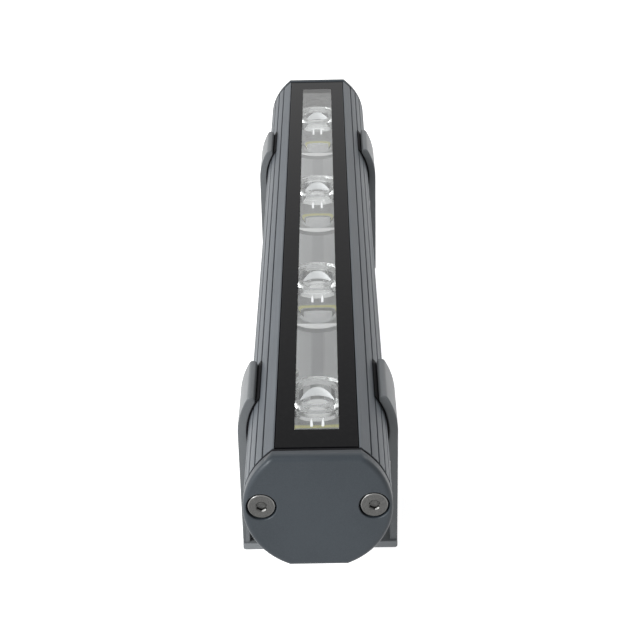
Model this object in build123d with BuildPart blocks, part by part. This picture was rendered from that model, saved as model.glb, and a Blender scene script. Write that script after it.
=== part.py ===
"""Outdoor wall washer light: a round aluminium lamp held by two clip brackets.

The lamp lies along Y with its front end cap towards -Y, its glass up, and the
brackets' undersides at Z = 0. The origin is midway between the brackets' fixing
holes. Sections across the lamp are drawn on planes whose origin is the lamp's
own axis, so heights in this script are measured from that axis. Millimetres.
"""

import os
from math import acos, asin, atan2, cos, degrees, radians, sin, sqrt

from build123d import *

os.makedirs("parts", exist_ok=True)

# ---------------------------------------------------------------- lamp body
body_radius = 20.0  # round section, 40 across
led_count = 4
led_pitch = 75.0  # the lamp is one pitch long for each LED, end caps included
lamp_shift = 7.0  # the lamp's middle, along Y, from the middle of the brackets
axis_height = 40.5  # lamp axis above the wall
top_flat_depth = 3.55  # how far the glass plane cuts into the round
bottom_flat_depth = 1.6  # the same for the flat under the lamp
corner_swell = 0.15  # the glass plane's corners stand this far outside the round
wall = 2.0

groove_width = 0.55
groove_depth = 0.45
groove_first_angle = 46.2  # from straight up
groove_pitch_angle = 9.6
grooves_per_side = 11

# ---------------------------------------------------------------- glass
glass_thickness = 3.0
glass_side_gap = 0.2
glass_end_gap = 0.3  # between the glass and the end gaskets
glass_lip_land = 0.4  # width of the housing's lip beside the glass, at the top
glass_gasket_thickness = 0.5
ledge_width = 2.8  # how much of the glass's edge rests on the housing
ledge_thickness = 1.4

# ---------------------------------------------------------------- end caps
cap_thickness = 3.5
cap_edge_radius = 1.3
gasket_thickness = 1.2
gasket_inset = 0.2  # the gasket's rim stands back from the outline
gasket_bridge = 2.05  # rubber between the gasket's opening and its screw holes
gasket_opening_radius = 3.0

cap_screw_rise = 1.0  # the screws' height above the lamp's axis
cap_screw_thread = 4.0
cap_screw_length = 16.0  # under the head
cap_screw_head = 7.5
cap_screw_head_height = 1.9
cap_screw_edge = 0.45
cap_screw_socket = 2.5  # across the socket's flats
cap_screw_socket_depth = 1.2
counterbore_gap = 0.35  # around the head
counterbore_rim = 0.9  # cap left between a counterbore and the round outline
head_sink = 0.3  # of the head below the cap's face
clearance_hole_gap = 0.2  # around the thread, in caps and gaskets
port_wall = 1.4  # metal round the housing's screw ports
thread_gap = 0.05  # round a thread in its tapped hole

# ---------------------------------------------------------------- light engine
led_board_thickness = 1.6
led_board_end_room = 12.0  # from the board's ends to the lamp's ends
thermal_pad_thickness = 0.3
web_thickness = 2.4  # the housing's floor under the board
led_base = 3.45
led_base_height = 0.9
led_dome_radius = 1.45

board_screw_inset = 2.1  # from the board's side edges
board_screw_thread = 2.5
board_screw_head = 4.5
board_screw_head_height = 1.6
board_screw_socket = 1.5
board_screw_gap = 0.15
board_screw_tip_room = 0.3  # from the screw's tip to the underside of the floor

lens_top_gap = 0.15  # between the lens and the ledges over it
lens_flange_radius = 10.3
lens_flange_height = 1.6
lens_foot_radius = 4.6
lens_foot_lift = 0.5  # clear of the board
lens_rim_radius = 9.4
lens_belly_radius = 8.0
lens_belly_height = 6.5
lens_bowl_radius = 5.5  # the hollow in the lens's top
lens_bowl_depth = 4.6
lens_bowl_crown = 1.6
lens_well_gap = 0.36  # between the emitter's corners and the hollow over it
lens_well_depth = 4.2
lens_well_crown = 0.8

holder_ring_width = 4.1
holder_ring_height = 1.3
holder_leg_gap = 0.2  # between a leg and the lens's rim
holder_leg_width = 5.0
holder_leg_count = 3

# ---------------------------------------------------------------- driver
driver_board_thickness = 1.6
driver_floor_gap = 1.85  # under the board
driver_side_gap = 0.33  # between the board's edges and the housing
driver_rear_room = 30.7  # for the supply's wires, behind the board
driver_end_length = 54.0  # board length beyond the inductors' pitches
driver_part_gap = 0.4  # over the tallest part
rail_depth = 1.3  # how far the rails reach over the board's edges
rail_thickness = 1.0
rail_gap = 0.1
rail_part_gap = 0.45  # between the rails and the parts on the board

inductor_radius = 5.0
inductor_height = 4.0
inductor_chamfer = 0.5
inductor_pitch = 34.0
capacitor_radius = 2.0
capacitor_length = 11.0
capacitor_lift = 0.05  # solder under the capacitors
chip_size = 5.5
chip_height = 1.2
terminal_length = 10.0
terminal_width = 14.4
terminal_height = 3.8
terminal_ways = 3
terminal_hole_radius = 1.3
terminal_hole_depth = 6.0
link_pin = 0.64
link_pin_count = 4
link_pin_pitch = 2.54
link_header_height = 2.5
link_edge = 1.7  # from the header to the LED board's edge, at least
link_slot_gap = 1.2  # between the pins and the slot in the housing's floor
link_hole_gap = 0.18
link_pin_tip = 0.6  # above the LED board

# ---------------------------------------------------------------- cable gland
gland_thread = 12.0
gland_thread_length = 9.5  # under the hexagon
gland_shoulder = 1.0  # the hexagon's flats stand this far outside the thread
gland_hex_height = 4.0
gland_collar_wall = 1.0
gland_collar_length = 6.0
gland_nose_length = 3.5  # of the dome nut, past the collar
gland_nose_wall = 1.0
gland_cable_radius = 3.2  # the cable that the seal takes
gland_bore_gap = 0.4
gland_hole_gap = 0.1
gland_ring_section = 0.8
gland_seal_wall = 1.0
gland_seal_length = 5.0
locknut_height = 2.6
locknut_gap = 1.0  # around the locknut, in the cut-back floor
gland_tip_room = 3.2  # from the gland's inner end to the cut-back floor

# ---------------------------------------------------------------- brackets
bracket_spacing = 189.0
bracket_length = 21.5  # along the lamp
clip_thickness = 2.6
liner_gap = 0.2  # between the body and the rubber liner
liner_thickness = 0.3
liner_lip = 2.2  # the liner runs on past the middle of each ear's tip
ear_angle = 60.3  # from straight up to the middle of each ear's round tip
leg_thickness = 2.15
base_thickness = 2.4
base_overhang = 0.8  # the base runs this far past the clip at both ends
base_corner_radius = 0.7
lock_pad_width = 10.0
lock_pad_thickness = 3.0
lock_screw_thread = 4.0
lock_screw_length = 5.0
lock_screw_socket = 2.0
lock_screw_socket_depth = 2.0
fixing_inset = 6.95  # a fixing hole's axis from the leg's inner face
fixing_hole = 4.5
driver_access = 9.0  # hole in the clip above each fixing hole

# ---------------------------------------------------------------- worked out
lamp_length = led_count * led_pitch
lamp_front = lamp_shift - lamp_length / 2
lamp_rear = lamp_shift + lamp_length / 2
housing_front = lamp_front + cap_thickness + gasket_thickness
housing_rear = lamp_rear - cap_thickness - gasket_thickness
housing_length = housing_rear - housing_front

glass_plane = body_radius - top_flat_depth
bottom_plane = bottom_flat_depth - body_radius
corner_half = sqrt((body_radius + corner_swell) ** 2 - glass_plane**2)
bore_radius = body_radius - wall

recess_half = corner_half - glass_lip_land
glass_half = recess_half - glass_side_gap
glass_length = housing_length - 2 * glass_end_gap
glass_bottom = glass_plane - glass_thickness
ledge_top = glass_bottom - glass_gasket_thickness
ledge_half = glass_half - ledge_width
ledge_bottom = ledge_top - ledge_thickness

screw_x = body_radius - counterbore_rim - counterbore_gap - cap_screw_head / 2
screw_points = [(-screw_x, cap_screw_rise), (screw_x, cap_screw_rise)]
counterbore_depth = cap_screw_head_height + head_sink
clearance_radius = cap_screw_thread / 2 + clearance_hole_gap

chamber_bottom = bottom_plane + wall
tallest_part = max(inductor_height, capacitor_lift + 2 * capacitor_radius, terminal_height)
driver_bottom = chamber_bottom + driver_floor_gap
driver_top = driver_bottom + driver_board_thickness
web_bottom = driver_top + tallest_part + driver_part_gap
web_top = web_bottom + web_thickness
board_bottom = web_top + thermal_pad_thickness
board_top = board_bottom + led_board_thickness
board_half = lens_flange_radius
led_board_length = lamp_length - 2 * led_board_end_room
lens_top = ledge_bottom - lens_top_gap
lens_shoulder = lens_top - lens_flange_height

led_places = [lamp_shift + (i - (led_count - 1) / 2) * led_pitch for i in range(led_count)]
board_screw_places = [(a + b) / 2 for a, b in zip(led_places, led_places[1:])]
board_screw_x = board_half - board_screw_inset
board_screw_points = [(side * board_screw_x, y) for y in board_screw_places for side in (-1, 1)]

driver_half = sqrt(bore_radius**2 - driver_bottom**2) - driver_side_gap
driver_board_length = led_count * inductor_pitch + driver_end_length
driver_rear = housing_rear - driver_rear_room
driver_middle = driver_rear - driver_board_length / 2
rail_inner = driver_half - rail_depth
part_edge = rail_inner - rail_part_gap  # how far sideways the parts on the board reach
inductor_places = [
    driver_middle + (i - (led_count - 1) / 2) * inductor_pitch for i in range(led_count)
]
side_places = [(a + b) / 2 for a, b in zip(inductor_places, inductor_places[1:])]

link_x = min(part_edge, board_half - link_edge) - link_pin_pitch / 2
link_y = (board_screw_places[-1] + led_places[-1] - lens_flange_radius) / 2
link_length = link_pin_count * link_pin_pitch
link_points = [
    (link_x, link_y + (i - (link_pin_count - 1) / 2) * link_pin_pitch) for i in range(link_pin_count)
]

gland_hex = gland_thread + 2 * gland_shoulder
gland_seat_y = lamp_rear + gland_ring_section
gland_collar_y = gland_seat_y + gland_hex_height
gland_collar_end = gland_collar_y + gland_collar_length
gland_bore_radius = gland_cable_radius + gland_bore_gap
gland_seal_radius = gland_cable_radius + gland_seal_wall
gland_collar_radius = gland_seal_radius + gland_collar_wall
web_end = gland_seat_y - gland_thread_length - gland_tip_room

liner_radius = body_radius + liner_gap
clip_radius = liner_radius + liner_thickness
bracket_radius = clip_radius + clip_thickness
base_bottom = -axis_height
base_top = base_bottom + base_thickness
fixing_x = bracket_radius - leg_thickness - fixing_inset
bracket_places = {"front": -bracket_spacing / 2, "rear": bracket_spacing / 2}


# ---------------------------------------------------------------- helpers
def across(y, facing=-1):
    """Plane across the lamp at y, facing -Y or +Y, with the lamp's axis at its origin."""
    return Plane(origin=(0, y, axis_height), x_dir=(-facing, 0, 0), z_dir=(0, facing, 0))


def level(height, y=0.0):
    """Level plane, facing up, at a height above the lamp's axis and centred at y."""
    return Plane(origin=(0, y, axis_height + height))


def on_round(radius, angle):
    """Point of a circle about the lamp's axis, at an angle in degrees from straight up."""
    return (radius * sin(radians(angle)), radius * cos(radians(angle)))


def lamp_outline(inset=0.0):
    """Closed outline of the lamp's section: round, with a flat top and a flat underside."""
    radius = body_radius - inset
    top, bottom = glass_plane - inset, bottom_plane + inset
    reach = radius + corner_swell
    corner = sqrt(reach**2 - top**2)
    foot = sqrt(radius**2 - bottom**2)
    touch = degrees(atan2(corner, top) + acos(radius / reach))
    with BuildLine() as outline:
        Line((-corner, top), (corner, top))
        Line((corner, top), on_round(radius, touch))
        ThreePointArc(on_round(radius, touch), (radius, 0), (foot, bottom))
        Line((foot, bottom), (-foot, bottom))
        ThreePointArc((-foot, bottom), (-radius, 0), on_round(radius, -touch))
        Line(on_round(radius, -touch), (-corner, top))
    return outline.line


def save(piece, name):
    """Label a finished piece and write it under its own name."""
    piece.part.label = name
    export_step(piece.part, f"parts/{name}.step")


# ---------------------------------------------------------------- housing
with BuildPart() as housing:
    with BuildSketch(across(housing_rear)):
        add(lamp_outline())
        make_face()
        # Seat for the glass, and the opening under it.
        with Locations((0, (glass_plane + ledge_top) / 2)):
            Rectangle(2 * recess_half, glass_plane - ledge_top, mode=Mode.SUBTRACT)
        with Locations((0, (ledge_top + ledge_bottom) / 2)):
            Rectangle(2 * ledge_half, ledge_thickness, mode=Mode.SUBTRACT)
        # Grooves along both sides.
        for step in range(grooves_per_side):
            angle = groove_first_angle + step * groove_pitch_angle
            for side in (-1, 1):
                with Locations(Location((*on_round(body_radius, side * angle), 0), -side * angle)):
                    Rectangle(groove_width, 2 * groove_depth, mode=Mode.SUBTRACT)
    extrude(amount=housing_length)
    # Chamber for the LEDs and lenses, round the end caps' screw ports.
    with BuildSketch(across(housing_rear)):
        Circle(bore_radius)
        with Locations((0, (web_top + ledge_bottom) / 2)):
            Rectangle(2 * body_radius, ledge_bottom - web_top, mode=Mode.INTERSECT)
        with Locations(*screw_points):
            Circle(cap_screw_thread / 2 + port_wall, mode=Mode.SUBTRACT)
    extrude(amount=housing_length, mode=Mode.SUBTRACT)
    # Chamber for the driver, under the floor.
    with BuildSketch(across(housing_rear)):
        Circle(bore_radius)
        with Locations((0, (chamber_bottom + web_bottom) / 2)):
            Rectangle(2 * body_radius, web_bottom - chamber_bottom, mode=Mode.INTERSECT)
        # Rails over and under the driver board's edges.
        for low in (driver_top + rail_gap, driver_bottom - rail_gap - rail_thickness):
            for side in (-1, 1):
                with Locations((side * (rail_inner + body_radius) / 2, low + rail_thickness / 2)):
                    Rectangle(body_radius - rail_inner, rail_thickness, mode=Mode.SUBTRACT)
    extrude(amount=housing_length, mode=Mode.SUBTRACT)
    with BuildSketch(across(housing_rear)):
        with Locations(*screw_points):
            Circle(cap_screw_thread / 2 + thread_gap)
    extrude(amount=housing_length, mode=Mode.SUBTRACT)
    with BuildSketch(level(web_bottom)):
        # Cut back at the rear for the cable gland.
        with Locations((0, (web_end + housing_rear) / 2)):
            Rectangle(gland_hex + 2 * locknut_gap, housing_rear - web_end)
        # Threads for the LED board's screws, and the slot for the link to the driver.
        with Locations(*board_screw_points):
            Circle(board_screw_thread / 2 + thread_gap)
        with Locations((link_x, link_y)):
            Rectangle(link_pin + 2 * link_slot_gap, link_length + 2 * link_slot_gap)
    extrude(amount=web_thickness, mode=Mode.SUBTRACT)
save(housing, "housing")

# ---------------------------------------------------------------- glass
with BuildPart() as cover_glass:
    with BuildSketch(level(glass_bottom, lamp_shift)):
        Rectangle(2 * glass_half, glass_length)
    extrude(amount=glass_thickness)
save(cover_glass, "cover_glass")

with BuildPart() as glass_gasket:
    with BuildSketch(level(ledge_top, lamp_shift)):
        Rectangle(2 * glass_half, glass_length)
        Rectangle(2 * ledge_half, glass_length - 2 * ledge_width, mode=Mode.SUBTRACT)
    extrude(amount=glass_gasket_thickness)
save(glass_gasket, "glass_gasket")


# ---------------------------------------------------------------- end caps
def end_cap(face_y, facing, bore_radius_at_axis=None):
    """End cap with its outer face at face_y, and a hole on the axis where a radius is given."""
    face = across(face_y, facing)
    with BuildPart() as cap:
        with BuildSketch(face.offset(-cap_thickness)):
            add(lamp_outline())
            make_face()
        extrude(amount=cap_thickness)
        outer_face = cap.faces().sort_by(Axis.Y)[-1 if facing > 0 else 0]
        fillet(outer_face.edges(), radius=cap_edge_radius)
        with Locations(face):
            with Locations(*screw_points):
                CounterBoreHole(
                    radius=clearance_radius,
                    counter_bore_radius=cap_screw_head / 2 + counterbore_gap,
                    counter_bore_depth=counterbore_depth,
                )
            if bore_radius_at_axis:
                Hole(radius=bore_radius_at_axis)
    return cap


def end_gasket(outer_y, facing):
    """Gasket between an end cap and the housing, open over the housing's chambers."""
    opening_width = 2 * (screw_x - clearance_radius - gasket_bridge)
    with BuildPart() as gasket:
        with BuildSketch(across(outer_y, facing).offset(-gasket_thickness)):
            add(lamp_outline(gasket_inset))
            make_face()
            RectangleRounded(
                opening_width, 2 * lens_top, gasket_opening_radius, mode=Mode.SUBTRACT
            )
            with Locations(*screw_points):
                Circle(clearance_radius, mode=Mode.SUBTRACT)
        extrude(amount=gasket_thickness)
    return gasket


def cap_screws(face_y, facing):
    """The two screws of an end cap: low rounded heads with a hexagonal socket."""
    seat = across(face_y, facing).offset(-counterbore_depth)
    with BuildPart() as screws:
        with BuildSketch(seat):
            with Locations(*screw_points):
                Circle(cap_screw_head / 2)
        extrude(amount=cap_screw_head_height)
        fillet(screws.edges().group_by(Axis.Y)[-1 if facing > 0 else 0], radius=cap_screw_edge)
        with BuildSketch(seat):
            with Locations(*screw_points):
                Circle(cap_screw_thread / 2)
        extrude(amount=-cap_screw_length)
        with BuildSketch(seat.offset(cap_screw_head_height - cap_screw_socket_depth)):
            with Locations(*screw_points):
                RegularPolygon(cap_screw_socket / 2, 6, major_radius=False)
        extrude(amount=cap_screw_socket_depth, mode=Mode.SUBTRACT)
    return screws


save(end_cap(lamp_front, -1), "front_end_cap")
save(end_cap(lamp_rear, 1, gland_thread / 2 + gland_hole_gap), "rear_end_cap")
save(end_gasket(lamp_front + cap_thickness, -1), "front_cap_gasket")
save(end_gasket(lamp_rear - cap_thickness, 1), "rear_cap_gasket")
save(cap_screws(lamp_front, -1), "front_cap_screws")
save(cap_screws(lamp_rear, 1), "rear_cap_screws")

# ---------------------------------------------------------------- light engine
with BuildPart() as thermal_pad:
    with BuildSketch(level(web_top)):
        with Locations((0, lamp_shift)):
            Rectangle(2 * board_half, led_board_length)
        with Locations(*board_screw_points):
            Circle(board_screw_thread / 2 + board_screw_gap, mode=Mode.SUBTRACT)
        with Locations((link_x, link_y)):
            Rectangle(
                link_pin + 2 * link_slot_gap, link_length + 2 * link_slot_gap, mode=Mode.SUBTRACT
            )
    extrude(amount=thermal_pad_thickness)
save(thermal_pad, "thermal_pad")

with BuildPart() as led_board:
    with BuildSketch(level(board_bottom)):
        with Locations((0, lamp_shift)):
            Rectangle(2 * board_half, led_board_length)
        with Locations(*board_screw_points):
            Circle(board_screw_thread / 2 + board_screw_gap, mode=Mode.SUBTRACT)
        with Locations(*link_points):
            Circle(link_pin * sqrt(2) / 2 + link_hole_gap, mode=Mode.SUBTRACT)
    extrude(amount=led_board_thickness)
save(led_board, "led_board")

with BuildPart() as board_screws:
    with BuildSketch(level(board_top)):
        with Locations(*board_screw_points):
            Circle(board_screw_head / 2)
    extrude(amount=board_screw_head_height)
    fillet(board_screws.edges().group_by(Axis.Z)[-1], radius=board_screw_head_height / 3)
    with BuildSketch(level(board_top)):
        with Locations(*board_screw_points):
            Circle(board_screw_thread / 2)
    extrude(amount=web_bottom + board_screw_tip_room - board_top)
    with BuildSketch(level(board_top + board_screw_head_height / 2)):
        with Locations(*board_screw_points):
            RegularPolygon(board_screw_socket / 2, 6, major_radius=False)
    extrude(amount=board_screw_head_height / 2, mode=Mode.SUBTRACT)
save(board_screws, "led_board_screws")


def led(y):
    """Emitter at y: a square ceramic base with a domed top."""
    with BuildPart() as emitter:
        with BuildSketch(level(board_top, y)):
            Rectangle(led_base, led_base)
        extrude(amount=led_base_height)
        with Locations(level(board_top + led_base_height, y)):
            Sphere(led_dome_radius, arc_size1=0)
    return emitter


def crown(radius, height, rise):
    """Points of an arc over the lens's axis: its edge, half way up, and its middle."""
    bend = (radius**2 + rise**2) / (2 * rise)
    half = asin(radius / bend) / 2
    return [(radius, height), (bend * sin(half), height + rise - bend * (1 - cos(half))), (0, height + rise)]


def lens(y):
    """Collimating lens at y: bell-shaped, with a flange, a hollow top and a well over the LED."""
    foot = board_top + lens_foot_lift
    well_radius = led_base * sqrt(2) / 2 + lens_well_gap
    bowl_floor = crown(lens_bowl_radius, lens_top - lens_bowl_depth, lens_bowl_crown)
    well_roof = crown(well_radius, foot + lens_well_depth, lens_well_crown)
    with BuildPart() as optic:
        with BuildSketch(across(y)):
            with BuildLine():
                Line((well_radius, foot), (lens_foot_radius, foot))
                ThreePointArc(
                    (lens_foot_radius, foot),
                    (lens_belly_radius, foot + lens_belly_height),
                    (lens_rim_radius, lens_shoulder),
                )
                Polyline(
                    (lens_rim_radius, lens_shoulder),
                    (lens_flange_radius, lens_shoulder),
                    (lens_flange_radius, lens_top),
                    (lens_bowl_radius, lens_top),
                    bowl_floor[0],
                )
                ThreePointArc(*bowl_floor)
                Line(bowl_floor[-1], well_roof[-1])
                ThreePointArc(*well_roof)
                Line(well_roof[0], (well_radius, foot))
            make_face()
        revolve(axis=Axis((0, y, axis_height), (0, 0, 1)))
    return optic


def lens_holder(y):
    """Holder at y: a ring on the board, with legs up to the lens's flange."""
    with BuildPart() as holder:
        with BuildSketch(level(board_top, y)):
            Circle(lens_flange_radius)
            Circle(lens_flange_radius - holder_ring_width, mode=Mode.SUBTRACT)
        extrude(amount=holder_ring_height)
        with BuildSketch(level(board_top, y)):
            with PolarLocations(lens_flange_radius, holder_leg_count, start_angle=90):
                Rectangle(lens_flange_radius, holder_leg_width)
            Circle(lens_flange_radius, mode=Mode.INTERSECT)
            Circle(lens_rim_radius + holder_leg_gap, mode=Mode.SUBTRACT)
        extrude(amount=lens_shoulder - board_top)
    return holder


for number, place in enumerate(led_places, start=1):
    save(led(place), f"led_{number}")
    save(lens(place), f"lens_{number}")
    save(lens_holder(place), f"lens_holder_{number}")

# ---------------------------------------------------------------- driver
with BuildPart() as driver_board:
    with BuildSketch(level(driver_bottom, driver_middle)):
        Rectangle(2 * driver_half, driver_board_length)
    extrude(amount=driver_board_thickness)
save(driver_board, "driver_board")

with BuildPart() as inductors:
    with BuildSketch(level(driver_top)):
        with Locations(*[(inductor_radius - part_edge, y) for y in inductor_places]):
            Circle(inductor_radius)
    extrude(amount=inductor_height)
    chamfer(inductors.edges().group_by(Axis.Z)[-1], length=inductor_chamfer)
save(inductors, "power_inductors")

with BuildPart() as control_chip:
    with BuildSketch(level(driver_top, side_places[0])):
        with Locations((part_edge - chip_size / 2, 0)):
            Rectangle(chip_size, chip_size)
    extrude(amount=chip_height)
save(control_chip, "control_chip")

with BuildPart() as capacitors:
    for middle in side_places[1:]:
        with BuildSketch(across(middle + capacitor_length / 2)):
            with Locations((part_edge - capacitor_radius, driver_top + capacitor_lift + capacitor_radius)):
                Circle(capacitor_radius)
        extrude(amount=capacitor_length)
save(capacitors, "filter_capacitors")

with BuildPart() as input_terminal:
    with BuildSketch(level(driver_top, driver_rear - terminal_length / 2)):
        Rectangle(terminal_width, terminal_length)
    extrude(amount=terminal_height)
    with BuildSketch(across(driver_rear, 1)):
        with Locations((0, driver_top + terminal_height / 2)):
            with GridLocations(terminal_width / terminal_ways, 0, terminal_ways, 1):
                Circle(terminal_hole_radius)
    extrude(amount=-terminal_hole_depth, mode=Mode.SUBTRACT)
save(input_terminal, "input_terminal")

with BuildPart() as link_header:
    with BuildSketch(level(driver_top)):
        with Locations((link_x, link_y)):
            Rectangle(link_pin_pitch, link_length)
        with Locations(*link_points):
            Rectangle(link_pin, link_pin, mode=Mode.SUBTRACT)
    extrude(amount=link_header_height)
save(link_header, "link_header")

with BuildPart() as link_pins:
    with BuildSketch(level(driver_top)):
        with Locations(*link_points):
            Rectangle(link_pin, link_pin)
    extrude(amount=board_top + link_pin_tip - driver_top)
save(link_pins, "link_pins")

# ---------------------------------------------------------------- cable gland
with BuildPart() as gland_ring:
    with BuildSketch(across(lamp_rear, 1)):
        Circle(gland_hex / 2)
        Circle(gland_thread / 2, mode=Mode.SUBTRACT)
    extrude(amount=gland_ring_section)
save(gland_ring, "gland_sealing_ring")

with BuildPart() as gland_body:
    with BuildSketch(across(gland_seat_y, 1)):
        RegularPolygon(gland_hex / 2, 6, major_radius=False)
    extrude(amount=gland_hex_height)
    with BuildSketch(across(gland_collar_y, 1)):
        Circle(gland_collar_radius)
    extrude(amount=gland_collar_length)
    with BuildSketch(across(gland_seat_y, 1)):
        Circle(gland_thread / 2)
    extrude(amount=-gland_thread_length)
    with BuildSketch(across(gland_collar_end, 1)):
        Circle(gland_seal_radius)
    extrude(amount=-gland_seal_length, mode=Mode.SUBTRACT)
    with BuildSketch(across(gland_seat_y, 1)):
        Circle(gland_bore_radius)
    extrude(amount=gland_hex_height + gland_collar_length, both=True, mode=Mode.SUBTRACT)
save(gland_body, "gland_body")

with BuildPart() as gland_seal:
    with BuildSketch(across(gland_collar_end, 1)):
        Circle(gland_seal_radius)
        Circle(gland_cable_radius, mode=Mode.SUBTRACT)
    extrude(amount=-gland_seal_length)
save(gland_seal, "gland_seal")

with BuildPart() as gland_nut:
    with BuildSketch(across(gland_collar_end, 1)):
        Circle(gland_hex / 2)
    extrude(amount=gland_nose_length)
    dome_radius = gland_hex / 2 - gland_bore_radius - gland_nose_wall
    fillet(gland_nut.edges().group_by(Axis.Y)[-1], radius=dome_radius)
    with BuildSketch(across(gland_collar_y, 1)):
        RegularPolygon(gland_hex / 2, 6, major_radius=False)
    extrude(amount=gland_collar_length)
    with BuildSketch(across(gland_collar_y, 1)):
        Circle(gland_collar_radius)
    extrude(amount=gland_collar_length, mode=Mode.SUBTRACT)
    with BuildSketch(across(gland_collar_end, 1)):
        Circle(gland_bore_radius)
    extrude(amount=gland_nose_length, mode=Mode.SUBTRACT)
save(gland_nut, "gland_nut")

with BuildPart() as gland_locknut:
    with BuildSketch(across(lamp_rear - cap_thickness)):
        RegularPolygon(gland_hex / 2, 6, major_radius=False)
        Circle(gland_thread / 2, mode=Mode.SUBTRACT)
    extrude(amount=locknut_height)
save(gland_locknut, "gland_locknut")


# ---------------------------------------------------------------- brackets
def open_top(angle):
    """Outline of the wedge, above the lamp's axis, that a clip or its liner leaves open."""
    reach = 3 * bracket_radius
    with BuildLine() as wedge:
        Polyline((0, 0), on_round(reach, angle), (0, reach), on_round(reach, -angle), close=True)
    return wedge.line


def access_holes(middle):
    """Section of the screwdriver's way to the fixing screws of the bracket at y."""
    with BuildSketch(level(-bracket_radius, middle)) as holes:
        with GridLocations(2 * fixing_x, 0, 2, 1):
            Circle(driver_access / 2)
    return holes.sketch


def bracket(middle):
    """Bracket centred at y: a round clip open at the top, two legs and a base."""
    tip_radius = (bracket_radius - clip_radius) / 2
    pad_top = -(clip_radius + tip_radius)
    pad_bottom = -(bracket_radius + lock_pad_thickness)
    with BuildPart() as piece:
        with BuildSketch(across(middle + bracket_length / 2)):
            Circle(bracket_radius)
            Circle(clip_radius, mode=Mode.SUBTRACT)
            add(open_top(ear_angle))
            make_face(mode=Mode.SUBTRACT)
            with Locations(*[on_round(clip_radius + tip_radius, side * ear_angle) for side in (-1, 1)]):
                Circle(tip_radius)
            with Locations((0, base_top / 2)):
                with GridLocations(2 * bracket_radius - leg_thickness, 0, 2, 1):
                    Rectangle(leg_thickness, -base_top)
            with Locations((0, (pad_top + pad_bottom) / 2)):
                Rectangle(lock_pad_width, pad_top - pad_bottom)
        extrude(amount=bracket_length)
        with BuildSketch(across(middle + bracket_length / 2 + base_overhang)) as base:
            with Locations((0, (base_top + base_bottom) / 2)):
                Rectangle(2 * bracket_radius, base_thickness)
            fillet(base.vertices().group_by(Axis.Z)[0], radius=base_corner_radius)
        extrude(amount=bracket_length + 2 * base_overhang)
        extrude(access_holes(middle), amount=bracket_radius, mode=Mode.SUBTRACT)
        with BuildSketch(level(base_bottom, middle)):
            with GridLocations(2 * fixing_x, 0, 2, 1):
                Circle(fixing_hole / 2)
        extrude(amount=base_thickness, mode=Mode.SUBTRACT)
        with BuildSketch(level(pad_bottom, middle)):
            Circle(lock_screw_thread / 2 + thread_gap)
        extrude(amount=-liner_radius - pad_bottom, mode=Mode.SUBTRACT)
    return piece


def bracket_liner(middle):
    """Rubber liner centred at y, lining its bracket's clip and running a little past both ears."""
    with BuildPart() as liner:
        with BuildSketch(across(middle + bracket_length / 2)):
            Circle(clip_radius)
            Circle(liner_radius, mode=Mode.SUBTRACT)
            add(open_top(ear_angle - degrees(liner_lip / liner_radius)))
            make_face(mode=Mode.SUBTRACT)
        extrude(amount=bracket_length)
        extrude(access_holes(middle), amount=bracket_radius, mode=Mode.SUBTRACT)
        with BuildSketch(level(-clip_radius, middle)):
            Circle(lock_screw_thread / 2 + thread_gap)
        extrude(amount=clip_radius, mode=Mode.SUBTRACT)
    return liner


for name, place in bracket_places.items():
    save(bracket(place), f"{name}_bracket")
    save(bracket_liner(place), f"{name}_bracket_liner")

with BuildPart() as lock_screws:
    with BuildSketch(level(-liner_radius)):
        with GridLocations(0, bracket_spacing, 1, 2):
            Circle(lock_screw_thread / 2)
    extrude(amount=-lock_screw_length)
    with BuildSketch(level(-liner_radius - lock_screw_length)):
        with GridLocations(0, bracket_spacing, 1, 2):
            RegularPolygon(lock_screw_socket / 2, 6, major_radius=False)
    extrude(amount=lock_screw_socket_depth, mode=Mode.SUBTRACT)
save(lock_screws, "tilt_lock_screws")
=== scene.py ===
"""Looks of the outdoor wall washer light: meshes, finishes, studio and camera.

Sizes are written in millimetres. The lamp lies along Y, and a height is measured
from the lamp's own axis unless its name says otherwise.
"""

import logging
from cmath import phase, rect
from dataclasses import dataclass, field
from enum import Enum
from functools import partialmethod, reduce
from math import acos, asin, atan2, cos, degrees, hypot, pi, radians, sin, sqrt, tan
from typing import Any, Callable, Sequence

import bmesh
import bpy
from mathutils import Matrix, Vector
from mathutils.geometry import tessellate_polygon

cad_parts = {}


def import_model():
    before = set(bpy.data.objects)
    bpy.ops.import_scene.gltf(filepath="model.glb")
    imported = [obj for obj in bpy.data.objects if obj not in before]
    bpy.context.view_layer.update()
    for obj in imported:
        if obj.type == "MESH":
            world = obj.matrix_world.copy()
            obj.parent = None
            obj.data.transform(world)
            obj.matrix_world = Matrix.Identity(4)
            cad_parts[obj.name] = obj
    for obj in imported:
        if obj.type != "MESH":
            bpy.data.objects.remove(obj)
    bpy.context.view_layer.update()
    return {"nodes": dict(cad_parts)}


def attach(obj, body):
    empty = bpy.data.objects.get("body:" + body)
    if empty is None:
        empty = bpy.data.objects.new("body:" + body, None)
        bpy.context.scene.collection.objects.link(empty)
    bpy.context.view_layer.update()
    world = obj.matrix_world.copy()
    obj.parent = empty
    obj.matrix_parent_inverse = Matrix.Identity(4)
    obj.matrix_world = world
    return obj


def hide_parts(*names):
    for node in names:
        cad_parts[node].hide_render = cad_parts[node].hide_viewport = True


LOG = logging.getLogger("wall_washer")
MM = 0.001
AXIS_HEIGHT = 40.5
BODY_RADIUS = 20.0
GLASS_PLANE = 16.45
BOTTOM_PLANE = -18.4
CORNER_SWELL = 0.15
BOARD_TOP = -4.2
FIRST_LED = -105.5
LED_PITCH = 75.0
SCREW_X = 15.0
SCREW_HEIGHT = 1.0
SHARP_FROM = 32.0
WHITE = (1.0, 1.0, 1.0)
EVEN = (1.0, 1.0, 1.0)
SHOWING = ("Camera", "Glossy", "Transmission")

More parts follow.
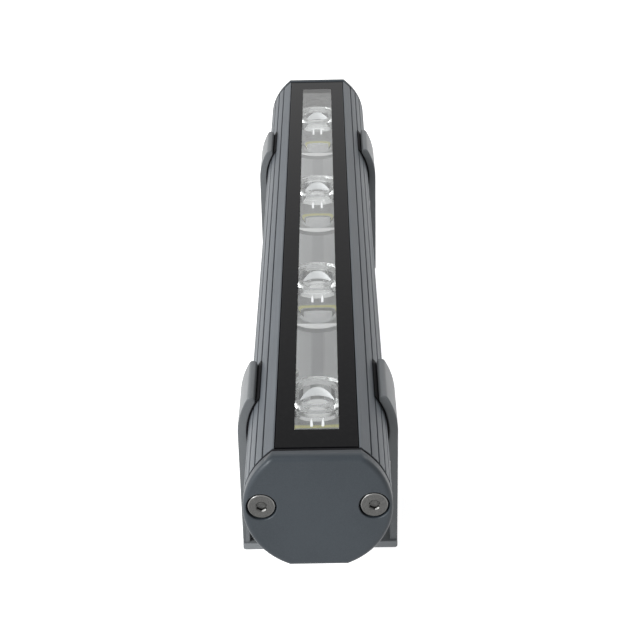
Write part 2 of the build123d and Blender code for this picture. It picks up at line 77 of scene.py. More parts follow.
Colour = tuple[float, float, float]
Flat = tuple[float, float]
Corner = tuple[float, float, float]
Material = bpy.types.Material
Piece = bpy.types.Object
Placing = Callable[[float, float, float], Vector]


class Body(Enum):
    """The two bodies that the joint joins."""

    LAMP = "lamp"
    BRACKETS = "brackets"


class Slot(Enum):
    """Material slots of the record that dressed pieces have."""

    HOUSING = "housing"
    BRACKETS = "brackets"
    END_CAPS = "end_caps"
    SCREWS = "screws"
    GLASS = "glass"
    LED = "led"
    LENS = "lens"
    GLAND = "gland"


# Shader maths
class Signal:
    """A shader socket that Python's operators turn into Math nodes."""

    def __init__(self, sheet: "NodeSheet", socket: bpy.types.NodeSocket) -> None:
        """Keep the socket and the sheet that it is on."""
        self.sheet = sheet
        self.socket = socket

    def _leading(self, operation: str, other: "Signal | float") -> "Signal":
        """Math node with this signal first."""
        return self.sheet.math(operation, self, other)

    def _trailing(self, operation: str, other: float) -> "Signal":
        """Math node with this signal second, for a number on the left."""
        return self.sheet.math(operation, other, self)

    __add__ = partialmethod(_leading, "ADD")
    __radd__ = partialmethod(_trailing, "ADD")
    __sub__ = partialmethod(_leading, "SUBTRACT")
    __rsub__ = partialmethod(_trailing, "SUBTRACT")
    __mul__ = partialmethod(_leading, "MULTIPLY")
    __rmul__ = partialmethod(_trailing, "MULTIPLY")
    __truediv__ = partialmethod(_leading, "DIVIDE")
    above = partialmethod(_leading, "GREATER_THAN")
    below = partialmethod(_leading, "LESS_THAN")
    higher = partialmethod(_leading, "MAXIMUM")

    def __neg__(self) -> "Signal":
        """Opposite."""
        return self * -1.0

    def __abs__(self) -> "Signal":
        """Size without sign."""
        return self._leading("ABSOLUTE", 0.0)

    def ease(self, start: float, end: float) -> "Signal":
        """Smooth step from 0 at one value of the signal to 1 at another."""
        values = {"Value": self, "From Min": start, "From Max": end}
        return self.sheet.add("ShaderNodeMapRange", "Result", values, interpolation_type="SMOOTHSTEP")

    def between(self, low: float, high: float) -> "Signal":
        """1 where the signal lies between two values."""
        return self.above(low) * self.below(high)


class NodeSheet:
    """The node tree of a material or world, and the methods that fill it."""

    def __init__(self, name: str, store: Any = None) -> None:
        """Start an empty node tree.

        Args:
            name: Name of the material or world.
            store: Where it is made; the materials if left out.
        """
        shelf = bpy.data.materials if store is None else store
        self.owner = shelf.new(name)
        self.owner.use_nodes = True
        self.tree = self.owner.node_tree
        self.tree.nodes.clear()

    def add(self, kind: str, output: str | int, inputs: Any = None, **settings: Any) -> Signal:
        """Make any node.

        Args:
            kind: Blender's name of the node's type.
            output: Name or number of the socket that is wanted.
            inputs: Values or links of its own sockets, by name or number.
            **settings: The node's properties.

        Returns:
            The output.
        """
        node = self.tree.nodes.new(kind)
        for name, value in settings.items():
            setattr(node, name, value)
        for name, value in (inputs or {}).items():
            self._feed(node.inputs[name], value)
        return Signal(self, node.outputs[output])

    def _feed(self, socket: bpy.types.NodeSocket, value: Any) -> None:
        """Link a signal to a socket, or set its value.

        Args:
            socket: The input.
            value: A signal, a number, a vector or a colour.
        """
        if isinstance(value, Signal):
            self.tree.links.new(value.socket, socket)
        elif socket.type == "RGBA":
            socket.default_value = (*value[:3], 1.0)
        else:
            socket.default_value = value

    def math(self, operation: str, first: Signal | float, second: Signal | float = 0.0) -> Signal:
        """One Math node of the operation."""
        return self.add("ShaderNodeMath", "Value", {0: first, 1: second}, operation=operation)

    def length(self, first: Signal, second: Signal) -> Signal:
        """Length of a flat vector of two signals."""
        return self.math("SQRT", first * first + second * second)

    def place(self) -> tuple[Signal, Signal, Signal]:
        """Place of the shaded point, in millimetres.

        Returns:
            X, Y and the height above the lamp's axis.
        """
        spot = {"Vector": self.add("ShaderNodeTexCoord", "Object")}
        x, y, z = (self.add("ShaderNodeSeparateXYZ", axis, spot) / MM for axis in "XYZ")
        return x, y, z - AXIS_HEIGHT

    def from_led(self, y: Signal) -> Signal:
        """Distance along the lamp from the nearest LED's middle, with its sign."""
        turn = (y - FIRST_LED) / LED_PITCH
        return (turn - self.math("ROUND", turn)) * LED_PITCH

    def noise(self, scale: float, detail: float = 2.0, along: Colour = EVEN) -> Signal:
        """Noise from 0 to 1.

        Args:
            scale: Grains per metre.
            detail: Octaves of the noise.
            along: Stretch of the coordinates, for grain that runs one way.

        Returns:
            The noise.
        """
        spot = {0: self.add("ShaderNodeTexCoord", "Object"), 1: along}
        spot = self.add("ShaderNodeVectorMath", "Vector", spot, operation="MULTIPLY")
        return self.add("ShaderNodeTexNoise", "Fac", {"Vector": spot, "Scale": scale, "Detail": detail})

    def tint(self, mask: Signal | float, first: Signal | Colour, second: Signal | Colour) -> Signal:
        """Colour that goes from the first to the second with the mask."""
        return self.add("ShaderNodeMix", 2, {"Factor": mask, 6: first, 7: second}, data_type="RGBA")

    def bump(self, height: Signal, depth: float, strength: float) -> Signal:
        """Normal from a height; the depth is what a height of 1 stands for."""
        values = {"Height": height, "Distance": depth * MM, "Strength": strength}
        return self.add("ShaderNodeBump", "Normal", values)

    def surface(self, **sockets: Any) -> Signal:
        """Principled shader; its inputs' names have underscores for spaces."""
        values = {name.replace("_", " "): value for name, value in sockets.items()}
        return self.add("ShaderNodeBsdfPrincipled", "BSDF", values)

    def rays(self, *kinds: str) -> Signal:
        """1 for rays of these kinds."""
        found = [self.add("ShaderNodeLightPath", f"Is {kind} Ray") for kind in kinds]
        return reduce(Signal.higher, found)

    def mix(self, mask: Signal, first: Signal, second: Signal) -> Signal:
        """Mix of two shaders."""
        return self.add("ShaderNodeMixShader", "Shader", {0: mask, 1: first, 2: second})

    def let_through(self, body: Signal, colour: Colour) -> Signal:
        """Body through which shadow rays and diffuse rays pass, in that colour."""
        clear = self.add("ShaderNodeBsdfTransparent", "BSDF", {"Color": colour})
        return self.mix(self.rays("Shadow", "Diffuse"), body, clear)

    def close(self, shader: Signal, output: str = "ShaderNodeOutputMaterial") -> bpy.types.ID:
        """Put the shader on an output node and give the material or world."""
        self._feed(self.tree.nodes.new(output).inputs["Surface"], shader)
        return self.owner


# Finishes
class Finish:
    """What every finish can do: build its material."""

    def build(self, name: str) -> Material:
        """Build the material of that name."""
        sheet = NodeSheet(name)
        return sheet.close(self.draw(sheet))

    def draw(self, sheet: NodeSheet) -> Signal:
        """The finish's shader, on a sheet."""
        raise NotImplementedError


@dataclass(frozen=True)
class Grain:
    """One noise of a finish, and its part in the colour, the roughness and the relief."""

    scale: float
    detail: float
    shade: float = 0.0
    rough: float = 0.0
    relief: float = 0.0
    along: Colour = EVEN


@dataclass(frozen=True)
class Grained(Finish):
    """Two close colours that noises mix, roughen and raise."""

    colour: Colour
    second: Colour
    grains: tuple[Grain, ...]
    roughness: float = 0.5
    depth: float = 0.02
    strength: float = 0.5
    limits: Flat = (0.35, 0.65)
    plain: dict[str, float] = field(default_factory=dict)

    def draw(self, sheet: NodeSheet) -> Signal:
        """The finish's shader.

        Args:
            sheet: Where its nodes go.

        Returns:
            The shader.
        """
        noises = [sheet.noise(grain.scale, grain.detail, grain.along) for grain in self.grains]
        shade = self._weighed(noises, [grain.shade for grain in self.grains])
        rough = self._weighed([noise - 0.5 for noise in noises], [grain.rough for grain in self.grains])
        relief = self._weighed(noises, [grain.relief for grain in self.grains])
        return sheet.surface(
            Base_Color=self.tone(sheet, shade.ease(*self.limits)),
            Roughness=self.roughness + rough,
            Normal=sheet.bump(relief, self.depth, self.strength),
            **self.plain,
        )

    def tone(self, sheet: NodeSheet, shade: Signal) -> Signal:
        """Colour that the shade picks."""
        return sheet.tint(shade, self.colour, self.second)

    @staticmethod
    def _weighed(noises: Sequence[Signal], shares: Sequence[float]) -> Signal:
        """Sum of the noises by their shares."""
        parts = [noise * share for noise, share in zip(noises, shares) if share]
        return sum(parts[1:], parts[0])


@dataclass(frozen=True)
class PaleFooted(Grained):
    """A grained finish that is paler on the base plate."""

    foot_top: float = 2.2
    foot_colour: Colour = (0.178, 0.190, 0.199)

    def tone(self, sheet: NodeSheet, shade: Signal) -> Signal:
        """Colour that the shade picks, or the foot's own."""
        foot = sheet.place()[2].below(self.foot_top - AXIS_HEIGHT)
        return sheet.tint(foot, super().tone(sheet, shade), self.foot_colour)


@dataclass(frozen=True)
class TurnedSteel(Finish):
    """Stainless steel with the rings that turning leaves round a screw's axis, and a painted highlight on the
    head's rounded edge.
    """

    colour: Colour = (0.055, 0.055, 0.054)
    bright: Colour = (0.115, 0.115, 0.112)
    # Painted highlight on the head's rounded edge.
    edge_highlight: Colour = (0.24, 0.24, 0.236)
    flat_radius: float = 3.3
    bevel_radius: float = 3.6
    ring_turns: float = 42.0
    speck_scale: float = 3800.0
    roughness: float = 0.26

    def draw(self, sheet: NodeSheet) -> Signal:
        """The finish's shader.

        Args:
            sheet: Where its nodes go.

        Returns:
            The shader.
        """
        x, _, height = sheet.place()
        out = sheet.length(abs(x) - SCREW_X, height - SCREW_HEIGHT)
        rings = sheet.math("SINE", out * self.ring_turns) * 0.5 + 0.5
        specks = sheet.noise(self.speck_scale)
        flat = sheet.tint((rings * 0.3 + specks * 0.7).ease(0.3, 0.75), self.colour, self.bright)
        # Painted highlight: the head's rounded edge is lighter.
        return sheet.surface(
            Base_Color=sheet.tint(out.ease(self.flat_radius, self.bevel_radius), flat, self.edge_highlight),
            Metallic=1.0,
            Roughness=self.roughness + rings * 0.06 + specks * 0.08,
            Normal=sheet.bump(rings * 0.5 + specks * 0.5, 0.008, 0.5),
        )


@dataclass(frozen=True)
class ClearGlass(Finish):
    """Glass that lets the light through to what is behind it."""

    colour: Colour = (0.97, 0.985, 0.98)
    through: Colour = (0.985, 0.99, 0.988)
    index: float = 1.5
    roughness: float = 0.01
    smear: float = 0.02
    smear_scale: float = 140.0

    def draw(self, sheet: NodeSheet) -> Signal:
        """The finish's shader.

        Args:
            sheet: Where its nodes go.

        Returns:
            The shader.
        """
        smears = sheet.noise(self.smear_scale, 4.0).ease(0.5, 0.8)
        rough = self.roughness + smears * self.smear
        body = sheet.surface(Base_Color=self.colour, Roughness=rough, IOR=self.index, Transmission_Weight=1.0)
        return sheet.let_through(body, self.through)


@dataclass(frozen=True)
class MouldedLens(Finish):
    """Clear acrylic with painted light: a glowing white arch on the bowl's rear wall and two glowing white
    marks in front as painted highlights, and a matt white well with a faint painted glow.
    """

    clear: Colour = (0.985, 0.99, 0.99)
    through: Colour = (0.97, 0.98, 0.975)
    # Painted highlight: arch, marks and well are matt white.
    painted_white: Colour = (0.95, 0.96, 0.97)
    painted_fleck: Colour = (0.88, 0.89, 0.90)
    index: float = 1.49
    # Painted light: arch, marks and well glow at these colours.
    glow: Colour = (0.40, 0.41, 0.42)
    mark_highlight_glow: Colour = (0.85, 0.86, 0.87)
    well_painted_glow: Colour = (0.19, 0.19, 0.195)
    speckle_scale: float = 5200.0
    bowl_wall: Flat = (5.3, 5.6)
    highlight_low: float = 7.65
    highlight_top: float = 10.5
    highlight_bend: float = 0.1
    well_radius: float = 3.1
    well_heights: Flat = (-3.65, 1.6)
    mark_x: float = 1.6
    mark_width: float = 0.36
    mark_low: float = 6.2
    mark_taper: Flat = (7.4, 9.5)

    def draw(self, sheet: NodeSheet) -> Signal:
        """The finish's shader, with its painted highlights and painted glow; from inside the acrylic, arch
        and marks stay clear.

        Args:
            sheet: Where its nodes go.

        Returns:
            The shader.
        """
        x, y, height = sheet.place()
        along = sheet.from_led(y)
        out = sheet.length(x, along)
        arch = height + x * x * self.highlight_bend
        # Painted highlight: a white arch on the bowl's rear wall.
        bowl = out.between(*self.bowl_wall) * along.above(0.0)
        bowl = bowl * height.above(self.highlight_low) * arch.below(self.highlight_top)
        # Painted glow: the well round the LED glows faintly.
        well = out.below(self.well_radius) * height.between(*self.well_heights)
        # Painted highlights: two white marks on the lens's front wall.
        width = self.mark_width * (1 - height.ease(*self.mark_taper))
        marks = abs(abs(x) - self.mark_x).below(width) * (-along).above(self.bowl_wall[1])
        marks = marks * height.above(self.mark_low)
        air_side = 1 - sheet.add("ShaderNodeNewGeometry", "Backfacing")
        speckle = sheet.noise(self.speckle_scale, 3.0)
        # Painted light: the masked zones are matt white and glow, as highlights on the lens.
        matt = sheet.surface(
            Base_Color=sheet.tint(speckle.ease(0.35, 0.65), self.painted_white, self.painted_fleck),
            Roughness=0.6 + (speckle - 0.5) * 0.2,
            Emission_Color=sheet.tint(well, sheet.tint(marks, self.glow, self.mark_highlight_glow), self.well_painted_glow),
            Emission_Strength=1.0,
            Normal=sheet.bump(speckle, 0.01, 0.4),
        )
        rough = 0.01 + speckle * 0.01
        body = sheet.surface(Base_Color=self.clear, Roughness=rough, IOR=self.index, Transmission_Weight=1.0)
        zones = (bowl.higher(marks) * air_side).higher(well)
        return sheet.let_through(sheet.mix(zones, body, matt), self.through)


@dataclass(frozen=True)
class HolderPlastic(Finish):
    """White polycarbonate with painted light: a glowing painted highlight at both ends of the ring's top, and
    on the legs a glowing orange-yellow painted reflection of the phosphor above a band of painted shade.
    """

    plain: Colour = (0.80, 0.80, 0.80)
    grained: Colour = (0.86, 0.86, 0.86)
    # Painted highlight: the ring's top is white at both ends and glows.
    pad: Colour = (0.97, 0.97, 0.98)
    pad_highlight_glow: float = 0.4
    # Painted reflection of the phosphor on the legs, which glows, and painted shade below it.
    amber_reflection: Colour = (0.84, 0.80, 0.36)
    amber_reflection_glow: Colour = (0.17, 0.165, 0.04)
    shade: Colour = (0.30, 0.30, 0.31)
    grain_scale: float = 2400.0
    ring_top: float = -2.8
    pad_from: Flat = (6.1, 6.6)
    pad_to: Flat = (9.7, 10.0)
    amber_reflection_band: Flat = (0.75, 1.2)
    shade_band: Flat = (0.0, 0.5)

    def draw(self, sheet: NodeSheet) -> Signal:
        """The finish's shader.

        Args:
            sheet: Where its nodes go.

        Returns:
            The shader.
        """
        x, y, height = sheet.place()
        grain = sheet.noise(self.grain_scale, 3.0)
        along = sheet.from_led(y)
        out = sheet.length(x, along)
        # Painted highlight on the ring's top.
        pads = height.below(self.ring_top) * abs(along).ease(*self.pad_from) * (1 - out.ease(*self.pad_to))
        # Painted reflection of the phosphor.
        amber_reflection = self._level(height, *self.amber_reflection_band)
        # Painted shade: a dark band on the legs below the reflection.
        shade = self._level(height, *self.shade_band)
        colour = sheet.tint(grain.ease(0.35, 0.65), self.plain, self.grained)
        for mask, other in ((amber_reflection, self.amber_reflection), (shade, self.shade), (pads, self.pad)):
            colour = sheet.tint(mask, colour, other)
        # Painted light: the ring's highlight and the phosphor's reflection glow.
        light = sheet.tint(pads * self.pad_highlight_glow, (0.0, 0.0, 0.0), WHITE)
        return sheet.surface(
            Base_Color=colour,
            Roughness=0.4 + (grain - 0.5) * 0.15,
            Emission_Color=sheet.tint(amber_reflection, light, self.amber_reflection_glow),
            Emission_Strength=1.0,
            Normal=sheet.bump(grain, 0.02, 0.5),
        )

    @staticmethod
    def _level(height: Signal, low: float, high: float, soft: float = 0.1) -> Signal:
        """Soft band between two heights."""
        return height.ease(low - soft, low) * (1 - height.ease(high, high + soft))


@dataclass(frozen=True)
class WhiteBoard(Finish):
    """White solder mask over copper, greyer along the middle, with bare pads at the LEDs; it glows a little
    as painted light and is greyer at its rear end as painted shade.
    """

    mask: Colour = (0.86, 0.87, 0.88)
    over_copper: Colour = (0.92, 0.93, 0.94)
    edge: Colour = (0.74, 0.75, 0.76)
    # Greyer colour along the middle, also the painted shade at the rear end.
    middle: Colour = (0.62, 0.63, 0.65)
    pad: Colour = (0.72, 0.70, 0.66)
    # Painted light: the board glows at this share of its colour.
    painted_glow_strength: float = 0.13
    speck_scale: float = 1600.0
    tracks: Flat = (2.2, 8.9)
    inner_tracks: Flat = (2.3, 8.75)
    pads: Flat = (2.0, 3.2)
    pad_half: float = 1.5
    stripe: Flat = (1.2, 2.6)
    stripe_fades: Flat = (-70.0, 40.0)
    # Painted shade at the board's rear end.
    rear_shade: Flat = (128.0, 138.0)

    def draw(self, sheet: NodeSheet) -> Signal:
        """The finish's shader.

        Args:
            sheet: Where its nodes go.

        Returns:
            The shader.
        """
        x, y, _ = sheet.place()
        side = abs(x)
        tracks = side.between(*self.tracks)
        rims = tracks * (1 - side.between(*self.inner_tracks))
        pads = side.between(*self.pads) * abs(sheet.from_led(y)).below(self.pad_half)
        specks = sheet.noise(self.speck_scale, 3.0)
        stripe = (1 - side.ease(*self.stripe)) * (1 - 0.6 * y.ease(*self.stripe_fades))
        colour = sheet.tint(tracks, self.mask, self.over_copper)
        # Greyer along the middle; painted shade at the rear end.
        colour = sheet.tint(stripe.higher(y.ease(*self.rear_shade)), colour, self.middle)
        colour = sheet.tint(rims * 0.3, colour, self.edge)
        colour = sheet.tint(specks.ease(0.6, 0.8) * 0.15, colour, self.edge)
        colour = sheet.tint(pads, colour, self.pad)
        # Painted light: the board glows at its own colour.
        return sheet.surface(
            Base_Color=colour,
            Emission_Color=colour,
            Emission_Strength=self.painted_glow_strength,
            Metallic=pads,
            Roughness=0.42 - pads * 0.1 + (specks - 0.5) * 0.1,
            Normal=sheet.bump(tracks * 0.8 + specks * 0.2, 0.04, 0.6),
        )


@dataclass(frozen=True)
class PaleFloor(Finish):
    """White studio floor that keeps the object's shadow and lights the object from below."""

    colour: Colour = (0.86, 0.86, 0.86)
    worn: Colour = (0.80, 0.80, 0.80)
    lift: float = 0.62
    paper_scale: float = 30.0

    def draw(self, sheet: NodeSheet) -> Signal:
        """The finish's shader.

        Args:
            sheet: Where its nodes go.

        Returns:
            The shader.
        """
        tone = sheet.tint(sheet.noise(self.paper_scale) * 0.04, self.colour, self.worn)
        matt = sheet.surface(Base_Color=tone, Roughness=1.0, Specular_IOR_Level=0.0)
        glow = sheet.add("ShaderNodeEmission", "Emission", {"Color": WHITE, "Strength": self.lift})
        both = sheet.add("ShaderNodeAddShader", "Shader", {0: matt, 1: glow})
        return sheet.mix(sheet.rays(*SHOWING), matt, both)


def moulding(
    colour: Colour, second: Colour, rough: float, scale: float = 2200, depth: float = 0.02, gloss: float = 0.5
) -> Grained:
    """A moulded plastic or rubber, with a faint grain."""
    grains = (Grain(scale, 3.0, shade=0.5, rough=0.15, relief=1.0), Grain(80.0, 2.0, shade=0.5))
    return Grained(colour, second, grains, rough, depth, plain={"Specular_IOR_Level": gloss})


DIE_LINES = (
    Grain(2600.0, 3.0, shade=0.55, rough=0.10, relief=0.7, along=(1.0, 0.006, 1.0)),
    Grain(60.0, 3.0, shade=0.45, rough=0.10),
    Grain(5200.0, 1.0, relief=0.3),
)
BLAST = (
    Grain(4200.0, 2.0, shade=0.5, rough=0.08, relief=1.0),
    Grain(45.0, 4.0, shade=0.5, rough=0.12),
)
BLASTED = {
    "depth": 0.014,
    "strength": 0.55,
    "limits": (0.36, 0.64),
    "plain": {"Metallic": 0.08, "Specular_IOR_Level": 0.28},
}
FINISHES: dict[str, Finish] = {
    "anodised_extrusion": Grained(
        (0.072, 0.081, 0.091), (0.096, 0.107, 0.119), DIE_LINES, 0.5, depth=0.012, strength=0.6,
        limits=(0.34, 0.66), plain={"Metallic": 0.1, "Specular_IOR_Level": 0.3}
    ),
    "blasted_caps": Grained((0.027, 0.034, 0.041), (0.034, 0.042, 0.050), BLAST, 0.42, **BLASTED),
    "blasted_brackets": PaleFooted((0.105, 0.113, 0.119), (0.132, 0.141, 0.148), BLAST, 0.4, **BLASTED),
    "turned_steel": TurnedSteel(),
    "small_steel": Grained(
        (0.46, 0.46, 0.45), (0.6, 0.6, 0.58), (Grain(2600.0, 3.0, shade=1.0, rough=0.2, relief=1.0),),
        0.3, depth=0.01, plain={"Metallic": 1.0}
    ),
    "clear_glass": ClearGlass(),
    "moulded_acrylic": MouldedLens(),
    "holder_polycarbonate": HolderPlastic(),
    "black_print": Grained(
        (0.0025, 0.0025, 0.0032), (0.005, 0.005, 0.0055),
        (Grain(900.0, 4.0, shade=1.0, rough=0.12), Grain(70.0, 1.0, relief=1.0)),
        0.1, strength=0.3, limits=(0.45, 0.75), plain={"IOR": 1.145}
    ),
    "black_rubber": moulding((0.006, 0.006, 0.007), (0.010, 0.010, 0.011), 0.62, gloss=0.06),
    "white_ceramic": moulding((0.80, 0.79, 0.76), (0.86, 0.85, 0.82), 0.35, 4000, 0.01),
    "black_polyamide": moulding((0.016, 0.016, 0.017), (0.028, 0.028, 0.030), 0.46),
    "dark_ferrite": moulding((0.030, 0.030, 0.032), (0.060, 0.060, 0.062), 0.55, 1800),
    "capacitor_sleeve": moulding((0.030, 0.035, 0.060), (0.045, 0.050, 0.080), 0.35),
    "green_terminal": moulding((0.10, 0.30, 0.16), (0.13, 0.36, 0.20), 0.45),
    "green_mask": moulding((0.02, 0.12, 0.05), (0.03, 0.16, 0.07), 0.35, 900, 0.01),
    "grey_pad": moulding((0.32, 0.33, 0.36), (0.38, 0.39, 0.42), 0.7),
    "white_mask": WhiteBoard(),
    "phosphor_dome": Grained(
        (0.95, 0.50, 0.06), (0.98, 0.72, 0.25), (Grain(7000.0, 3.0, shade=1.0, rough=0.1, relief=1.0),),
        0.35, depth=0.01, strength=0.4, limits=(0.3, 0.7), plain={"Coat_Weight": 1.0, "Coat_Roughness": 0.05}
    ),
}
KEPT_NODES: dict[str, str] = {
    "black_rubber": "glass_gasket front_cap_gasket rear_cap_gasket gland_seal gland_sealing_ring"
    " front_bracket_liner rear_bracket_liner",
    "small_steel": "led_board_screws tilt_lock_screws link_pins",
    "holder_polycarbonate": "lens_holder_1 lens_holder_2 lens_holder_3 lens_holder_4",
    "white_mask": "led_board",
    "grey_pad": "thermal_pad",
    "green_mask": "driver_board",
    "dark_ferrite": "power_inductors control_chip link_header",
    "capacitor_sleeve": "filter_capacitors",
    "green_terminal": "input_terminal",
    "black_polyamide": "gland_locknut",
}


# Outlines
def on_round(radius: float, angle: float) -> Flat:
    """Point of a circle about the lamp's axis, at an angle in degrees from straight up."""
    return (radius * sin(radians(angle)), radius * cos(radians(angle)))


def angle_at(radius: float, height: float) -> float:
    """Angle from straight up, in degrees, where a circle has a height."""
    return degrees(acos(height / radius))


def low_angle(radius: float, x: float) -> float:
    """Angle from straight up where a circle's lower half has a distance from the middle."""
    return 180.0 - degrees(asin(x / radius))


def arc(radius: float, start: float, end: float, step: float = 1.5, centre: Flat = (0, 0)) -> list[Corner]:
    """Sharp points along an arc, both ends among them.

    Args:
        radius: The arc's radius.
        start: Angle from straight up, in degrees, where it begins.
        end: Angle where it ends.
        step: Degrees between points, at most.
        centre: The arc's middle.

    Returns:
        Points with a corner radius of 0.
    """
    count = max(2, round(abs(end - start) / step) + 1)
    spots = [on_round(radius, start + (end - start) * i / (count - 1)) for i in range(count)]
    return [(centre[0] + spot[0], centre[1] + spot[1], 0.0) for spot in spots]


def circle(radius: float, count: int, centre: Flat) -> list[Flat]:
    """Points of a whole circle."""
    spots = [on_round(radius, 360 * i / count) for i in range(count)]
    return [(centre[0] + spot[0], centre[1] + spot[1]) for spot in spots]


def round_edge(radius: float, steps: int) -> list[Flat]:
    """Inset and depth of the rings that round an end's edge, from the end on."""
    turns = [pi / 2 * step / steps for step in range(steps + 1)]
    return [(radius * (1 - sin(turn)), radius * (1 - cos(turn))) for turn in turns]


def rounded(corners: Sequence[Corner], steps: int = 4) -> list[Flat]:
    """Closed outline whose corners are rounded.

    Args:
        corners: Place and radius of each corner; a radius of 0 stays sharp.
        steps: Faces in each rounding.

    Returns:
        The outline's points.
    """
    points: list[Flat] = []
    for index, (x, z, radius) in enumerate(corners):
        here = Vector((x, z))
        before = Vector(corners[index - 1][:2]) - here
        after = Vector(corners[(index + 1) % len(corners)][:2]) - here
        opening = before.angle(after, pi)
        if radius == 0 or opening > radians(178):
            points.append((x, z))
            continue
        reach = min(radius / tan(opening / 2), before.length * 0.49, after.length * 0.49)
        size = reach * tan(opening / 2)
        middle = here + (before.normalized() + after.normalized()).normalized() * (size / sin(opening / 2))
        first = here + before.normalized() * reach - middle
        last = here + after.normalized() * reach - middle
        for step in range(steps + 1):
            points.append(tuple(middle + first.slerp(last, step / steps).normalized() * size))
    return points


def moved_in(outline: Sequence[Flat], inset: float) -> list[Flat]:
    """Outline moved to its own inside, with mitred corners.

    Args:
        outline: A closed outline.
        inset: How far each side moves in; less than 0 moves it out.

    Returns:
        As many points as before.
    """
    if inset == 0:
        return list(outline)
    area = sum(a[0] * b[1] - b[0] * a[1] for a, b in zip(outline, [*outline[1:], outline[0]]))
    turn = 1.0 if area > 0 else -1.0
    moved = []
    for index, point in enumerate(outline):
        before = Vector(point) - Vector(outline[index - 1])
        after = Vector(outline[(index + 1) % len(outline)]) - Vector(point)
        first = Vector((-before.y, before.x)).normalized() * turn
        second = Vector((-after.y, after.x)).normalized() * turn
        way = (first + second) / max(0.2, 1 + first.dot(second))
        moved.append(tuple(Vector(point) + way * inset))
    return moved


def mirrored(half: Sequence[Corner]) -> list[Corner]:
    """The half outline on the right, and its mirror image in reverse order."""
    return list(half) + [(-x, z, radius) for x, z, radius in reversed(half)]


def top_corner() -> Flat:
    """Corner between the lamp's flat top and its round.

    Returns:
        Half the flat top's width, and the angle where the corner meets the round.
    """
    reach = BODY_RADIUS + CORNER_SWELL
    half = sqrt(reach**2 - GLASS_PLANE**2)
    return half, degrees(atan2(half, GLASS_PLANE) + acos(BODY_RADIUS / reach))


# Meshes
def along_lamp(spot: Flat, y: float) -> Vector:
    """Point of a section across the lamp, at a place along it."""
    return Vector((spot[0], y, spot[1] + AXIS_HEIGHT)) * MM


def about_vertical(x: float, y: float) -> Placing:
    """Placing function for turned forms on a vertical axis: radius, turn and height."""
    return lambda radius, turn, height: Vector(
        (x + radius * cos(turn), y + radius * sin(turn), AXIS_HEIGHT + height)
    ) * MM


def about_lengthwise(x: float, height: float, start: float, facing: float) -> Placing:
    """Placing function for turned forms on an axis along Y; the depth grows against facing."""
    return lambda radius, turn, depth: along_lamp(
        (x + radius * cos(turn), height + radius * sin(turn)), start - facing * depth
    )


def reach_of(mark: Sequence[float], turn: float) -> float:
    """Radius of a profile's mark at a turn.

    Args:
        mark: Radius and place, and for a hexagon half its width across flats.
        turn: The turn from the middle of a flat.

    Returns:
        The radius there; a hexagon's corners end at the mark's own radius.
    """
    if len(mark) == 2:
        return mark[0]
    off = (turn + pi / 6) % (pi / 3) - pi / 6
    return min(mark[0], mark[2] / cos(off))


